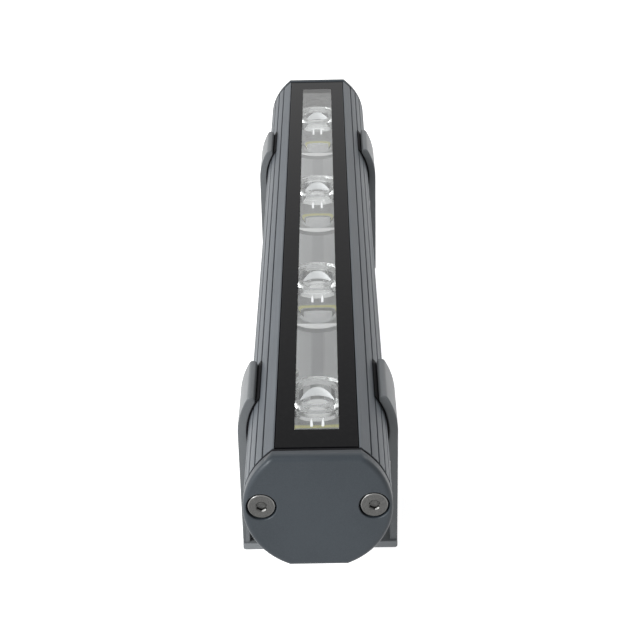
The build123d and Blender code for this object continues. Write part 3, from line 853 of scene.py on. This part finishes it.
@dataclass
class Skin:
    """The closed surface of a piece, collected ring by ring."""

    points: list[Vector] = field(default_factory=list)
    faces: list[tuple[int, ...]] = field(default_factory=list)
    zones: list[int] = field(default_factory=list)

    def ring(self, spots: Sequence[Vector]) -> list[int]:
        """Add a ring of points and give their numbers."""
        self.points.extend(spots)
        return list(range(len(self.points) - len(spots), len(self.points)))

    def join(self, first: Sequence[int], second: Sequence[int], zone: int = 0) -> None:
        """Faces between two closed rings of as many points.

        Args:
            first: One ring.
            second: The next ring.
            zone: Number of the faces' finish.
        """
        for index in range(len(first)):
            after = (index + 1) % len(first)
            self.faces.append((first[index], first[after], second[after], second[index]))
            self.zones.append(zone)

    def sleeve(
        self, rings: Sequence[Sequence[Vector]], zone: int = 0, closed: bool = False, ends: bool = False
    ) -> list[list[int]]:
        """Add rings and the faces between them.

        Args:
            rings: The rings, in order.
            zone: Number of the faces' finish.
            closed: Whether the last ring also joins the first.
            ends: Whether the first and the last ring are filled.

        Returns:
            The rings' numbers.
        """
        numbers = [self.ring(ring) for ring in rings]
        for first, second in zip(numbers, numbers[1:] + numbers[: int(closed)]):
            self.join(first, second, zone)
        if ends:
            self.fill([numbers[0]], zone)
            self.fill([numbers[-1]], zone)
        return numbers

    def fill(self, loops: Sequence[Sequence[int]], zone: int = 0) -> None:
        """Flat faces inside the first loop and outside the others.

        Args:
            loops: The outer loop, then the holes.
            zone: Number of the faces' finish.
        """
        flat = [number for loop in loops for number in loop]
        coords = [[self.points[number] for number in loop] for loop in loops]
        for triangle in tessellate_polygon(coords):
            self.faces.append(tuple(flat[corner] for corner in triangle))
            self.zones.append(zone)

    def prism(self, outline: Sequence[Flat], start: float, end: float, edge: float) -> None:
        """Closed extrusion along the lamp with rounded end edges.

        Args:
            outline: Its section.
            start: Where it begins along Y.
            end: Where it ends.
            edge: Radius of the end edges.
        """
        front = round_edge(edge, 3) if edge else [(0.0, 0.0)]
        rings = [(inset, start + depth) for inset, depth in front]
        rings += [(inset, end - depth) for inset, depth in reversed(front)]
        self.sleeve([self.section(outline, y, inset) for inset, y in rings], ends=True)

    @staticmethod
    def section(outline: Sequence[Flat], y: float, inset: float = 0.0) -> list[Vector]:
        """The outline's points in space, moved in by the inset, at y."""
        return [along_lamp(spot, y) for spot in moved_in(outline, inset)]

    def turned(
        self, profile: Sequence[Sequence[float]], place: Placing, count: int, skew: float = 0.0, **how: Any
    ) -> list[list[int]]:
        """Turned surface, with hexagons where the profile has them.

        Args:
            profile: Radius and place along the axis of each ring; a third number makes a hexagon.
            place: Makes a point from radius, angle and place along the axis.
            count: Points in a ring.
            skew: Turn of the hexagons.
            **how: What sleeve also takes.

        Returns:
            The rings' numbers.
        """
        turns = [2 * pi * index / count for index in range(count)]
        rings = [[place(reach_of(mark, turn - skew), turn, mark[1]) for turn in turns] for mark in profile]
        return self.sleeve(rings, **how)

    def build(self, name: str, finishes: Sequence[Material], sharp: float = SHARP_FROM) -> Piece:
        """Make the object.

        Args:
            name: Its name.
            finishes: A material for each zone.
            sharp: Edges sharper than this many degrees stay sharp.

        Returns:
            The object, with clean outward faces and even shading.
        """
        mesh = bpy.data.meshes.new(name)
        mesh.from_pydata(self.points, [], self.faces)
        mesh.polygons.foreach_set("material_index", self.zones)
        for finish in finishes:
            mesh.materials.append(finish)
        work = bmesh.new()
        work.from_mesh(mesh)
        bmesh.ops.remove_doubles(work, verts=work.verts, dist=1e-7)
        bmesh.ops.dissolve_degenerate(work, edges=work.edges, dist=1e-7)
        bmesh.ops.recalc_face_normals(work, faces=work.faces)
        work.to_mesh(mesh)
        work.free()
        piece = bpy.data.objects.new(name, mesh)
        bpy.context.scene.collection.objects.link(piece)
        polish(piece, sharp)
        return piece


def apply_modifier(piece: Piece, modifier: bpy.types.Modifier) -> None:
    """Apply one modifier of a piece."""
    bpy.context.view_layer.objects.active = piece
    with bpy.context.temp_override(object=piece, active_object=piece, selected_objects=[piece]):
        bpy.ops.object.modifier_apply(modifier=modifier.name)


def polish(piece: Piece, sharp: float = SHARP_FROM) -> None:
    """Smooth shading that keeps sharp edges and flat faces.

    Args:
        piece: The object.
        sharp: Edges sharper than this many degrees stay sharp.
    """
    mesh = piece.data
    mesh.polygons.foreach_set("use_smooth", [True] * len(mesh.polygons))
    mesh.set_sharp_from_angle(angle=radians(sharp))
    weigh = piece.modifiers.new("even_shading", "WEIGHTED_NORMAL")
    weigh.mode = "FACE_AREA"
    weigh.weight = 80
    weigh.keep_sharp = True
    apply_modifier(piece, weigh)


def cut(piece: Piece, cutter: Piece, way: str = "DIFFERENCE") -> None:
    """Cut one mesh out of another, or fuse it on, and drop it.

    Args:
        piece: What is changed.
        cutter: What is taken away or fused on.
        way: The Boolean modifier's operation.
    """
    knife = piece.modifiers.new("cut", "BOOLEAN")
    knife.operation = way
    knife.solver = "EXACT"
    knife.object = cutter
    apply_modifier(piece, knife)
    bpy.data.objects.remove(cutter)
    polish(piece)


def dress(piece: Piece, body: Body, slot: Slot, node: str) -> None:
    """Let a piece ride on a body and hide the CAD node that it stands for.

    Args:
        piece: The object.
        body: The body that it moves with.
        slot: The record's slot of its finish; not used.
        node: The CAD node that it replaces.
    """
    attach(piece, body.value)
    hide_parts(node)
    LOG.info("%s: %d faces, rides on %s", piece.name, len(piece.data.polygons), body.value)


# Lamp body
@dataclass
class LampBody:
    """The extruded housing, with its grooves, glass seat, two chambers and screw ports."""

    start: float = -138.3
    end: float = 152.3
    bore: float = 18.0
    recess_half: float = 11.24
    ledge_top: float = 12.95
    ledge_half: float = 8.24
    ledge_bottom: float = 11.55
    seat_corner: float = 0.1
    ledge_corner: float = 0.12
    web_top: float = -6.1
    web_bottom: float = -8.5
    rail_half: float = 8.97
    rail_top: float = -11.85
    slot_top: float = -12.85
    slot_bottom: float = -14.65
    rail_corner: float = 0.1
    chamber_bottom: float = -16.4
    port_radius: float = 3.4
    port_bore: float = 2.05
    port_room: float = 0.5
    groove_width: float = 0.55
    groove_depth: float = 0.45
    groove_floor: float = 0.09
    first_groove: float = 46.2
    groove_step: float = 9.6
    grooves: int = 11
    lip_radius: float = 0.13
    lip_room: float = 1.2
    corner_radius: float = 0.16
    screw_hole: float = 1.3
    screw_hole_x: float = 8.2
    screw_hole_y: Corner = (-68.0, 7.0, 82.0)
    wire_opening_x: Flat = (-8.0, 8.0)
    wire_opening_y: Flat = (145.1, 153.5)
    link_opening_x: Flat = (5.73, 8.77)
    link_opening_y: Flat = (89.3, 101.9)

    def build(self, finish: Material) -> None:
        """Build the housing.

        Args:
            finish: The extrusion's material.
        """
        skin = Skin()
        loops = [self._outside(), self._driver_chamber()]
        loops += [circle(self.port_bore, 32, (side * SCREW_X, SCREW_HEIGHT)) for side in (-1, 1)]
        sleeves = [skin.sleeve([skin.section(loop, y) for y in (self.start, self.end)]) for loop in loops]
        skin.fill([pair[0] for pair in sleeves])
        skin.fill([pair[1] for pair in sleeves])
        piece = skin.build("lamp_housing", [finish])
        cut(piece, self._web_cuts())
        dress(piece, Body.LAMP, Slot.HOUSING, "housing")

    def _outside(self) -> list[Flat]:
        """Outline of the metal, from the round outside into the LED chamber.

        Returns:
            The closed outline.
        """
        corner, turn = top_corner()
        foot = angle_at(BODY_RADIUS, BOTTOM_PLANE)
        half_groove = degrees(asin(self.groove_width / 2 / BODY_RADIUS))
        half: list[Corner] = [
            (self.recess_half, GLASS_PLANE, self.corner_radius * 0.7),
            (corner, GLASS_PLANE, self.corner_radius),
        ]
        for number in range(self.grooves):
            middle = self.first_groove + number * self.groove_step
            half += arc(BODY_RADIUS, turn, middle - half_groove - self.lip_room)
            half += self._groove(middle, half_groove)
            turn = middle + half_groove + self.lip_room
        half += arc(BODY_RADIUS, turn, foot - 1.0)
        half.append((*on_round(BODY_RADIUS, foot), self.corner_radius))
        inner = self._led_chamber()
        return rounded(mirrored(half) + [(-x, z, radius) for x, z, radius in inner] + inner[::-1])

    def _groove(self, middle: float, half: float) -> list[Corner]:
        """One groove.

        Args:
            middle: Its angle from straight up.
            half: Half its angle.

        Returns:
            Its lips and its floor.
        """
        way = Vector(on_round(1.0, middle))
        side = Vector((way.y, -way.x)) * self.groove_width / 2
        floor = way * (BODY_RADIUS - self.groove_depth)
        return [
            (*on_round(BODY_RADIUS, middle - half), self.lip_radius),
            (*(floor - side), self.groove_floor),
            (*(floor + side), self.groove_floor),
            (*on_round(BODY_RADIUS, middle + half), self.lip_radius),
        ]

    def _led_chamber(self) -> list[Corner]:
        """Right half of the glass seat and the LED chamber, from the seat down to the floor.

        Returns:
            Its corners.
        """
        port = (SCREW_X, SCREW_HEIGHT)
        span = hypot(*port)
        along = (self.bore**2 - self.port_radius**2 + span**2) / (2 * span)
        spread = degrees(acos(along / self.bore))
        way = degrees(atan2(*port))
        ends = [Vector(on_round(self.bore, way + side * spread)) - Vector(port) for side in (-1, 1)]
        turns = [degrees(atan2(*end)) for end in ends]
        turns = [turn - 360 if turn > 0 else turn for turn in turns]
        return [
            (self.recess_half, self.ledge_top, self.seat_corner),
            (self.ledge_half, self.ledge_top, self.ledge_corner),
            (self.ledge_half, self.ledge_bottom, self.ledge_corner),
            *arc(self.bore, angle_at(self.bore, self.ledge_bottom), way - spread - self.port_room),
            *arc(self.port_radius, *turns, 6.0, port),
            *arc(self.bore, way + spread + self.port_room, angle_at(self.bore, self.web_top)),
        ]

    def _driver_chamber(self) -> list[Flat]:
        """Outline of the lower chamber, with the rails that hold the driver's board.

        Returns:
            The closed outline.
        """
        half = [
            *self._wall(self.web_bottom, self.rail_top),
            (self.rail_half, self.rail_top, self.rail_corner),
            (self.rail_half, self.slot_top, self.rail_corner),
            *self._wall(self.slot_top, self.slot_bottom),
            (self.rail_half, self.slot_bottom, self.rail_corner),
            *self._wall(-sqrt(self.bore**2 - self.rail_half**2), self.chamber_bottom),
        ]
        return rounded(mirrored(half))

    def _wall(self, high: float, low: float) -> list[Corner]:
        """The bore's wall between two heights."""
        return arc(self.bore, angle_at(self.bore, high), angle_at(self.bore, low))

    def _web_cuts(self) -> Piece:
        """What is taken out of the floor between the chambers.

        Returns:
            The cutter.
        """
        skin = Skin()
        low, high = self.web_bottom - 0.5, self.web_top + 0.5
        for x in (-self.screw_hole_x, self.screw_hole_x):
            for y in self.screw_hole_y:
                profile = [(self.screw_hole, low), (self.screw_hole, high)]
                skin.turned(profile, about_vertical(x, y), 16, ends=True)
        wire = (*self.wire_opening_x, *self.wire_opening_y)
        link = (*self.link_opening_x, *self.link_opening_y)
        for left, right, near, far in (wire, link):
            skin.prism([(left, low), (right, low), (right, high), (left, high)], near, far, 0.0)
        return skin.build("web_cuts", [])


# End caps
@dataclass
class EndCap:
    """One end cap: a rounded edge, two counterbores with softened rims, and its screws."""

    face: float
    facing: float
    name: str
    gland_bore: float = 0.0
    thickness: float = 3.5
    edge: float = 1.3
    counterbore: float = 4.1
    counterbore_depth: float = 2.2
    rim: float = 0.3
    clearance: float = 2.2

    def build(self, finish: Material, steel: Material) -> None:
        """Build the cap and its screws.

        Args:
            finish: The cap's material.
            steel: The screws' material.
        """
        skin = Skin()
        corner, touch = top_corner()
        half = [(corner, GLASS_PLANE, 0.0), *arc(BODY_RADIUS, touch, angle_at(BODY_RADIUS, BOTTOM_PLANE))]
        outline = rounded(mirrored(half))
        marks = [(self.edge * 1.35, 0.0), *round_edge(self.edge, 7)]
        marks += [(0.0, self.edge * 1.25), (0.0, self.thickness)]
        shell = skin.sleeve(
            [skin.section(outline, self.face - self.facing * depth, inset) for inset, depth in marks]
        )
        front, back = [shell[0]], [shell[-1]]
        if self.gland_bore:
            bore = self.gland_bore
            profile = [(bore + 0.3, 0.0), (bore + 0.1, 0.03), (bore, 0.13), (bore, self.thickness)]
            rings = skin.turned(profile, about_lengthwise(0.0, 0.0, self.face, self.facing), 64)
            front.append(rings[0])
            back.append(rings[-1])
        skin.fill(front)
        skin.fill(back)
        cap = skin.build(f"{self.name}_cap", [finish])
        holes, screws = Skin(), Skin()
        for side in (-1, 1):
            place = about_lengthwise(side * SCREW_X, SCREW_HEIGHT, self.face, self.facing)
            holes.turned(self._counterbore(), place, 56, ends=True)
            HexSocketScrew().add_to(screws, place)
        cut(cap, holes.build(f"{self.name}_counterbores", []))
        dress(cap, Body.LAMP, Slot.END_CAPS, f"{self.name}_end_cap")
        pair = screws.build(f"{self.name}_screws", [steel], 28.0)
        dress(pair, Body.LAMP, Slot.SCREWS, f"{self.name}_cap_screws")

    def _counterbore(self) -> list[Flat]:
        """Profile of a counterbore with its clearance hole.

        Returns:
            Radius and depth of each ring.
        """
        rim, bore, deep = self.rim, self.counterbore, self.counterbore_depth
        softened = [(2.0, -1.0), (1.6, -0.4), (0.5, 0.13), (0.13, 0.5), (0.0, 1.0)]
        floor = [(bore, deep - 0.12), (bore - 0.04, deep - 0.04), (bore - 0.12, deep)]
        hole = [(self.clearance + 0.1, deep), (self.clearance, deep + 0.1)]
        hole.append((self.clearance, self.thickness + 0.5))
        return [(bore + rim * out, rim * down) for out, down in softened] + floor + hole


@dataclass
class HexSocketScrew:
    """A low-head screw with a hexagonal socket, sunk below the cap's face."""

    head: float = 3.75
    head_height: float = 1.9
    sunk: float = 0.3
    edge: float = 0.45
    socket: float = 2.5
    socket_depth: float = 1.2
    thread: float = 2.0
    pitch: float = 0.7
    ridge: float = 0.3
    ridges: int = 21
    length: float = 16.0

    def add_to(self, skin: Skin, place: Placing) -> None:
        """Add the screw's surface to a skin.

        Args:
            skin: Where it goes.
            place: The placing function of its axis.
        """
        top, seat = self.sunk, self.sunk + self.head_height
        flat = self.socket / 2
        rim = flat * 1.155
        floor = top + self.socket_depth
        tip = seat + self.length
        profile: list[tuple[float, ...]] = [
            (self.head, floor + 0.25, flat * 0.5),
            (self.head, floor, flat),
            (self.head, top + 0.26, flat),
            (rim + 0.14, top),
            (rim + 0.34, top),
            (self.head - self.edge * 1.5, top),
        ]
        profile += [(self.head - inset, top + depth) for inset, depth in round_edge(self.edge, 5)]
        profile += [(self.head, top + self.edge * 1.4), (self.head, seat - 0.1), (self.head - 0.1, seat)]
        profile += [(self.thread + 0.1, seat), (self.thread, seat + 0.1)]
        for number in range(self.ridges):
            start = seat + 0.5 + self.pitch * number
            profile += [(self.thread, start), (self.thread - self.ridge, start + self.ridge)]
            profile.append((self.thread, start + 2 * self.ridge))
        profile += [(self.thread, tip - self.ridge), (self.thread - self.ridge, tip)]
        skin.turned(profile, place, 72, ends=True)


# Cover glass
@dataclass
class CoverGlass:
    """Toughened glass: ground edges, and a black print round a clear window."""

    half: float = 11.04
    bottom: float = 13.45
    top: float = 16.45
    start: float = -138.0
    end: float = 152.0
    edge: float = 0.22
    border_side: float = 5.04
    border_end: float = 8.8

    def build(self, clear: Material, printed: Material) -> None:
        """Build the glass.

        Args:
            clear: The clear glass.
            printed: The black print.
        """
        skin = Skin()
        border = (self.border_side, self.border_end)
        edge = self.edge
        marks = [
            (*border, self.top),
            (edge * 2, edge * 2, self.top),
            (edge, edge, self.top),
            (edge * 0.3, edge * 0.3, self.top - edge * 0.3),
            (0.0, 0.0, self.top - edge),
            (0.0, 0.0, self.bottom + edge),
            (edge, edge, self.bottom),
            (*border, self.bottom),
        ]
        loops = skin.sleeve([self._loop(*mark) for mark in marks], 1)
        skin.fill([loops[0]], 0)
        skin.fill([loops[-1]], 0)
        dress(skin.build("cover_pane", [clear, printed]), Body.LAMP, Slot.GLASS, "cover_glass")

    def _loop(self, side: float, end: float, height: float) -> list[Vector]:
        """A rectangle inside the glass's outline.

        Args:
            side: How far in from the long sides.
            end: How far in from both ends.
            height: Its height above the lamp's axis.

        Returns:
            Its corners.
        """
        x = self.half - side
        near, far = self.start + end, self.end - end
        return [along_lamp((across, height), y) for across, y in ((-x, near), (x, near), (x, far), (-x, far))]


# Light engine
@dataclass
class LightUnit:
    """An LED and its collimating lens."""

    number: int
    y: float
    base: float = 3.45
    base_height: float = 0.9
    base_corner: float = 0.15
    base_edge: float = 0.08
    dome: float = 1.45
    foot: float = -3.7
    foot_radius: float = 4.6
    belly_radius: float = 8.0
    belly_rise: float = 6.5
    shoulder: float = 9.8
    rim_radius: float = 9.4
    flange_radius: float = 10.3
    top: float = 11.4
    bowl_radius: float = 5.5
    bowl_depth: float = 4.6
    bowl_crown: float = 1.6
    well_radius: float = 2.8
    well_depth: float = 4.2
    well_crown: float = 0.8

    def build_led(self, ceramic: Material, phosphor: Material) -> None:
        """Build the LED.

        Args:
            ceramic: Its base's material.
            phosphor: Its dome's material.
        """
        skin = Skin()
        half, high = self.base / 2, BOARD_TOP + self.base_height
        square = rounded(mirrored([(half, half, self.base_corner), (half, -half, self.base_corner)]), 3)
        levels = [(0.0, BOARD_TOP), (0.0, high - self.base_edge), (self.base_edge, high)]
        block = skin.sleeve(
            [[self._at(spot, height) for spot in moved_in(square, inset)] for inset, height in levels]
        )
        skin.fill([block[0]])
        turns = [pi / 2 * step / 7 for step in range(7)]
        profile = [(self.dome * cos(turn), high + self.dome * sin(turn)) for turn in turns]
        dome = skin.turned(profile, about_vertical(0.0, self.y), 40, zone=1)
        skin.fill([dome[-1]], 1)
        skin.fill([block[-1], dome[0]])
        led = skin.build(f"emitter_{self.number}", [ceramic, phosphor])
        dress(led, Body.LAMP, Slot.LED, f"led_{self.number}")

    def _at(self, spot: Flat, height: float) -> Vector:
        """Point beside the LED's middle, at a height."""
        return Vector((spot[0], self.y + spot[1], AXIS_HEIGHT + height)) * MM

    def build_lens(self, clear: Material) -> None:
        """Build the lens.

        Args:
            clear: Its material.
        """
        skin = Skin()
        bowl, flange, top = self.bowl_radius, self.flange_radius, self.top
        profile = [
            (self.well_radius, self.foot),
            (self.foot_radius - 0.1, self.foot),
            *self._belly(),
            (self.rim_radius, self.shoulder),
            (flange - 0.12, self.shoulder),
            (flange, self.shoulder + 0.12),
            (flange, top - 0.15),
            (flange - 0.15, top),
            (bowl + 0.25, top),
            (bowl + 0.07, top - 0.07),
            (bowl, top - 0.25),
            *self._crown(bowl, top - self.bowl_depth, self.bowl_crown, 9),
        ]
        well = self._crown(self.well_radius, self.foot + self.well_depth, self.well_crown, 6)
        place = about_vertical(0.0, self.y)
        for marks in (profile, [(self.well_radius, self.foot), *well]):
            rings = skin.turned(marks, place, 96)
            skin.fill([rings[-1]])
        lens = skin.build(f"collimator_{self.number}", [clear], 24.0)
        dress(lens, Body.LAMP, Slot.LENS, f"lens_{self.number}")

    def _belly(self, steps: int = 16) -> list[Flat]:
        """Arc of the lens's outer wall, from the foot through the belly almost to the rim.

        Args:
            steps: Parts of the arc.

        Returns:
            Its points, without the last.
        """
        first = complex(self.foot_radius, self.foot)
        middle = complex(self.belly_radius, self.foot + self.belly_rise)
        last = complex(self.rim_radius, self.shoulder)
        ratio = (last - first) / (middle - first)
        centre = first - (first - middle) * (ratio - abs(ratio) ** 2) / 2j / ratio.imag
        start, end = phase(first - centre), phase(last - centre)
        spots = [centre + rect(abs(first - centre), start + (end - start) * i / steps) for i in range(steps)]
        return [(spot.real, spot.imag) for spot in spots]

    @staticmethod
    def _crown(radius: float, height: float, rise: float, steps: int) -> list[Flat]:
        """Points of a crown's arc, from its edge almost to its middle.

        Args:
            radius: Radius of its edge.
            height: Height of its edge.
            rise: How far its middle stands above the edge.
            steps: Parts of the arc.

        Returns:
            Its points.
        """
        bend = (radius**2 + rise**2) / (2 * rise)
        half = asin(radius / bend)
        turns = [half * (1 - i / steps) for i in range(steps)] + [half * 0.04]
        return [(bend * sin(turn), height + rise - bend * (1 - cos(turn))) for turn in turns]


# Brackets
@dataclass
class ClipBracket:
    """One bracket: a clip open at the top, two legs, a base plate and a pad for the lock screw."""

    name: str
    y: float
    length: float = 21.5
    inner: float = 20.5
    outer: float = 23.1
    ear: float = 60.3
    leg: float = 2.15
    leg_corner: float = 0.8
    base: float = 2.4
    overhang: float = 0.8
    base_corner: float = 0.7
    base_sink: float = 0.6
    pad_half: float = 5.0
    pad_neck: float = 0.4
    pad_corner: float = 0.35
    pad_bottom: float = -26.1
    edge: float = 0.28
    fixing_x: float = 14.0
    fixing_radius: float = 2.25
    flare: float = 0.25
    access_radius: float = 4.5
    access_heights: Flat = (-23.5, -1.0)
    thread_radius: float = 2.05
    thread_end: float = -18.0

    def build(self, finish: Material) -> None:
        """Build the bracket.

        Args:
            finish: Its material.
        """
        clip, plate = Skin(), Skin()
        near = self.y - self.length / 2
        clip.prism(self._clip(), near, near + self.length, self.edge)
        bracket = clip.build(f"{self.name}_clip_bracket", [finish])
        low, high = -AXIS_HEIGHT, self.base - AXIS_HEIGHT
        base = rounded(mirrored([(self.outer, high, 0.3), (self.outer, low, self.base_corner)]))
        plate.prism(base, near - self.overhang, near + self.length + self.overhang, self.edge)
        cut(bracket, plate.build(f"{self.name}_base", [finish]), "UNION")
        cut(bracket, self._holes(low, high))
        dress(bracket, Body.BRACKETS, Slot.BRACKETS, f"{self.name}_bracket")

    def _clip(self) -> list[Flat]:
        """Section of the clip, legs and pad, down into the base plate.

        Returns:
            The closed outline.
        """
        foot = self.base - AXIS_HEIGHT - self.base_sink
        leg_inner = self.outer - self.leg
        meet = low_angle(self.outer, leg_inner)
        pad = low_angle(self.outer, self.pad_half)
        tip = (self.outer - self.inner) / 2
        centre = on_round(self.inner + tip, self.ear)
        half = [
            *arc(self.inner, 179.0, self.ear, 2.0),
            *arc(tip, self.ear - 180, self.ear, 12.0, centre)[1:-1],
            *arc(self.outer, self.ear, 90, 2.0),
            (self.outer, foot, 0.0),
            (leg_inner, foot, 0.0),
            (leg_inner, self.outer * cos(radians(meet)), self.leg_corner),
            *arc(self.outer, meet + 2.5, pad - 1.2, 2.0),
            (self.pad_half, self.outer * cos(radians(pad)), self.pad_neck),
            (self.pad_half, self.pad_bottom, self.pad_corner),
        ]
        return rounded(mirrored(half))

    def _holes(self, low: float, high: float) -> Piece:
        """Fixing holes, access holes and the lock screw's thread.

        Args:
            low: Height of the base plate's underside.
            high: Height of its top.

        Returns:
            The cutter.
        """
        skin = Skin()
        wide, flare, thread = self.fixing_radius + self.flare + 0.2, self.flare, self.thread_radius
        fixing = [
            (wide, low - 0.2),
            (self.fixing_radius, low + flare),
            (self.fixing_radius, high - flare),
            (wide, high + 0.2),
        ]
        access = [(self.access_radius, height) for height in self.access_heights]
        for side in (-1, 1):
            for profile in (fixing, access):
                skin.turned(profile, about_vertical(side * self.fixing_x, self.y), 48, ends=True)
        bottom = self.pad_bottom
        lock = [(thread + 0.4, bottom - 0.2), (thread, bottom + 0.3), (thread, self.thread_end)]
        skin.turned(lock, about_vertical(0.0, self.y), 32, ends=True)
        return skin.build(f"{self.name}_holes", [])


# Cable gland
@dataclass
class CableGland:
    """The gland's body and its dome nut, with chamfered hexagons and a ribbed thread."""

    seat: float = 157.8
    flat: float = 7.0
    corner: float = 8.0829
    hex_height: float = 4.0
    collar: float = 5.2
    collar_length: float = 6.0
    thread: float = 6.0
    root: float = 5.5
    thread_length: float = 9.5
    ridges: int = 6
    pitch: float = 1.5
    bore: float = 3.6
    seal: float = 4.2
    seal_length: float = 5.0
    nose: float = 3.5
    nose_fillet: float = 2.4

    def build(self, finish: Material) -> None:
        """Build both parts.

        Args:
            finish: Their material.
        """
        shoulder = self.seat + self.hex_height
        middle = shoulder + self.collar_length
        parts = (
            ("gland_base", "gland_body", self._body(shoulder, middle)),
            ("gland_dome_nut", "gland_nut", self._nut(shoulder, middle)),
        )
        for name, node, profile in parts:
            skin = Skin()
            skin.turned(profile, about_lengthwise(0.0, 0.0, 0.0, -1.0), 96, pi / 6, closed=True)
            dress(skin.build(name, [finish]), Body.LAMP, Slot.GLAND, node)

    def _body(self, shoulder: float, end: float) -> list[tuple[float, ...]]:
        """Profile of the body.

        Args:
            shoulder: Where its hexagon ends.
            end: Where its collar ends.

        Returns:
            Radius and place of each ring, and the width of the hexagons.
        """
        tip, flat = self.seat - self.thread_length, self.flat
        profile: list[tuple[float, ...]] = [(self.root, tip)]
        for number in range(self.ridges):
            start = tip + 0.4 + self.pitch * number
            profile += [(self.thread, start), (self.thread, start + 0.2), (self.root, start + 0.85)]
        return profile + [
            (self.thread, self.seat - 0.05),
            (self.thread, self.seat),
            (flat - 0.1, self.seat),
            (flat + 0.25, self.seat + 0.18, flat),
            (self.corner, self.seat + 0.5, flat),
            (self.corner, shoulder - 0.12, flat),
            (flat - 0.1, shoulder),
            (self.collar, shoulder),
            (self.collar, end - 0.1),
            (self.collar - 0.1, end),
            (self.seal, end),
            (self.seal, end - self.seal_length),
            (self.bore, end - self.seal_length),
            (self.bore, tip),
        ]

    def _nut(self, near: float, middle: float) -> list[tuple[float, ...]]:
        """Profile of the dome nut.

        Args:
            near: Where it begins.
            middle: Where its hexagon ends.

        Returns:
            Radius and place of each ring, and the width of the hexagons.
        """
        end, flat = middle + self.nose, self.flat
        dome = [(flat - inset, end - depth) for inset, depth in reversed(round_edge(self.nose_fillet, 8))]
        return [
            (flat - 0.1, near),
            (self.corner, near + 0.12, flat),
            (self.corner, middle - 0.75, flat),
            (flat + 0.35, middle - 0.3, flat),
            (flat, middle),
            *dome,
            (self.bore + 0.3, end),
            (self.bore + 0.08, end - 0.08),
            (self.bore, end - 0.3),
            (self.bore, middle),
            (self.collar, middle),
            (self.collar, near),
        ]


# Studio
@dataclass
class Studio:
    """Camera, floor, lamps and surroundings; places in metres."""

    place: Colour = (0.00438, -0.46520, 0.26983)
    right: Colour = (0.99982562, -0.00140885, -0.01862085)
    up: Colour = (0.01708368, 0.47168579, 0.88160119)
    focal: float = 83.28
    floor_half: float = 4.0
    floor_drop: float = 0.0002
    world_light: float = 0.28
    aim: Colour = (0.0, 0.0, 0.03)

    def build(self) -> None:
        """Build the studio."""
        self._camera()
        self._floor()
        self._world()
        self._softbox("left_softbox", (-1.2, -0.9, 0.9), 0.9, 42.0)
        self._softbox("rear_softbox", (1.0, 0.8, 1.25), 1.0, 12.0)
        bpy.context.scene.view_settings.view_transform = "Standard"

    @staticmethod
    def _stand(name: str, data: bpy.types.ID) -> Piece:
        """Put an object in the scene.

        Args:
            name: Its name.
            data: Its camera, lamp or mesh.

        Returns:
            The object.
        """
        item = bpy.data.objects.new(name, data)
        bpy.context.scene.collection.objects.link(item)
        return item

    def _camera(self) -> None:
        """Set the camera to the photograph's view."""
        data = bpy.data.cameras.new("photo_camera")
        data.lens = self.focal
        data.sensor_width = 36.0
        data.clip_start = 0.01
        camera = self._stand("photo_camera", data)
        back = Vector(self.right).cross(Vector(self.up))
        turn = Matrix((self.right, self.up, back)).transposed().to_4x4()
        camera.matrix_world = Matrix.Translation(self.place) @ turn
        bpy.context.scene.camera = camera

    def _floor(self) -> None:
        """Lay the pale floor."""
        half = self.floor_half
        corners = [(-half, -half, 0), (half, -half, 0), (half, half, 0), (-half, half, 0)]
        mesh = bpy.data.meshes.new("studio_floor")
        mesh.from_pydata(corners, [], [(0, 1, 2, 3)])
        mesh.materials.append(PaleFloor().build("floor_paper"))
        floor = self._stand("studio_floor", mesh)
        floor.location.z = -self.floor_drop

    def _world(self) -> None:
        """White surroundings at a plain level, pure white where they are seen."""
        sheet = NodeSheet("studio_world", bpy.data.worlds)
        plain, seen = (
            sheet.add("ShaderNodeBackground", "Background", {"Color": WHITE, "Strength": strength})
            for strength in (self.world_light, 1.0)
        )
        mixed = sheet.mix(sheet.rays(*SHOWING), plain, seen)
        bpy.context.scene.world = sheet.close(mixed, "ShaderNodeOutputWorld")

    def _softbox(self, name: str, place: Colour, size: float, power: float) -> None:
        """Hang a soft lamp.

        Args:
            name: Its name.
            place: Where it hangs.
            size: Its side.
            power: Its watts.
        """
        data = bpy.data.lights.new(name, "AREA")
        data.shape = "SQUARE"
        data.size = size
        data.energy = power
        lamp = self._stand(name, data)
        lamp.location = place
        lamp.rotation_euler = (Vector(self.aim) - Vector(place)).to_track_quat("-Z", "Y").to_euler()


def dress_nodes(frame: dict[str, Any], finish: Material, nodes: Sequence[str]) -> None:
    """Give CAD nodes that stay a finish.

    Args:
        frame: The loaded frame.
        finish: The material.
        nodes: Their names.
    """
    for name in nodes:
        for slot in frame["nodes"][name].material_slots:
            slot.material = finish
        LOG.info("%s: kept, %s", name, finish.name)


def main() -> None:
    """Build every sub-assembly in order."""
    logging.basicConfig(level=logging.INFO, format="%(message)s")
    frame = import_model()

    looks = {name: finish.build(name) for name, finish in FINISHES.items()}
    Studio().build()
    LampBody().build(looks["anodised_extrusion"])
    EndCap(-143.0, -1.0, "front").build(looks["blasted_caps"], looks["turned_steel"])
    EndCap(157.0, 1.0, "rear", 6.1).build(looks["blasted_caps"], looks["turned_steel"])
    CoverGlass().build(looks["clear_glass"], looks["black_print"])
    for number in range(4):
        unit = LightUnit(number + 1, FIRST_LED + LED_PITCH * number)
        unit.build_led(looks["white_ceramic"], looks["phosphor_dome"])
        unit.build_lens(looks["moulded_acrylic"])
    for name, place in (("front", -94.5), ("rear", 94.5)):
        ClipBracket(name, place).build(looks["blasted_brackets"])
    CableGland().build(looks["black_polyamide"])
    for name, nodes in KEPT_NODES.items():
        dress_nodes(frame, looks[name], nodes.split())


if __name__ == "__main__":
    main()
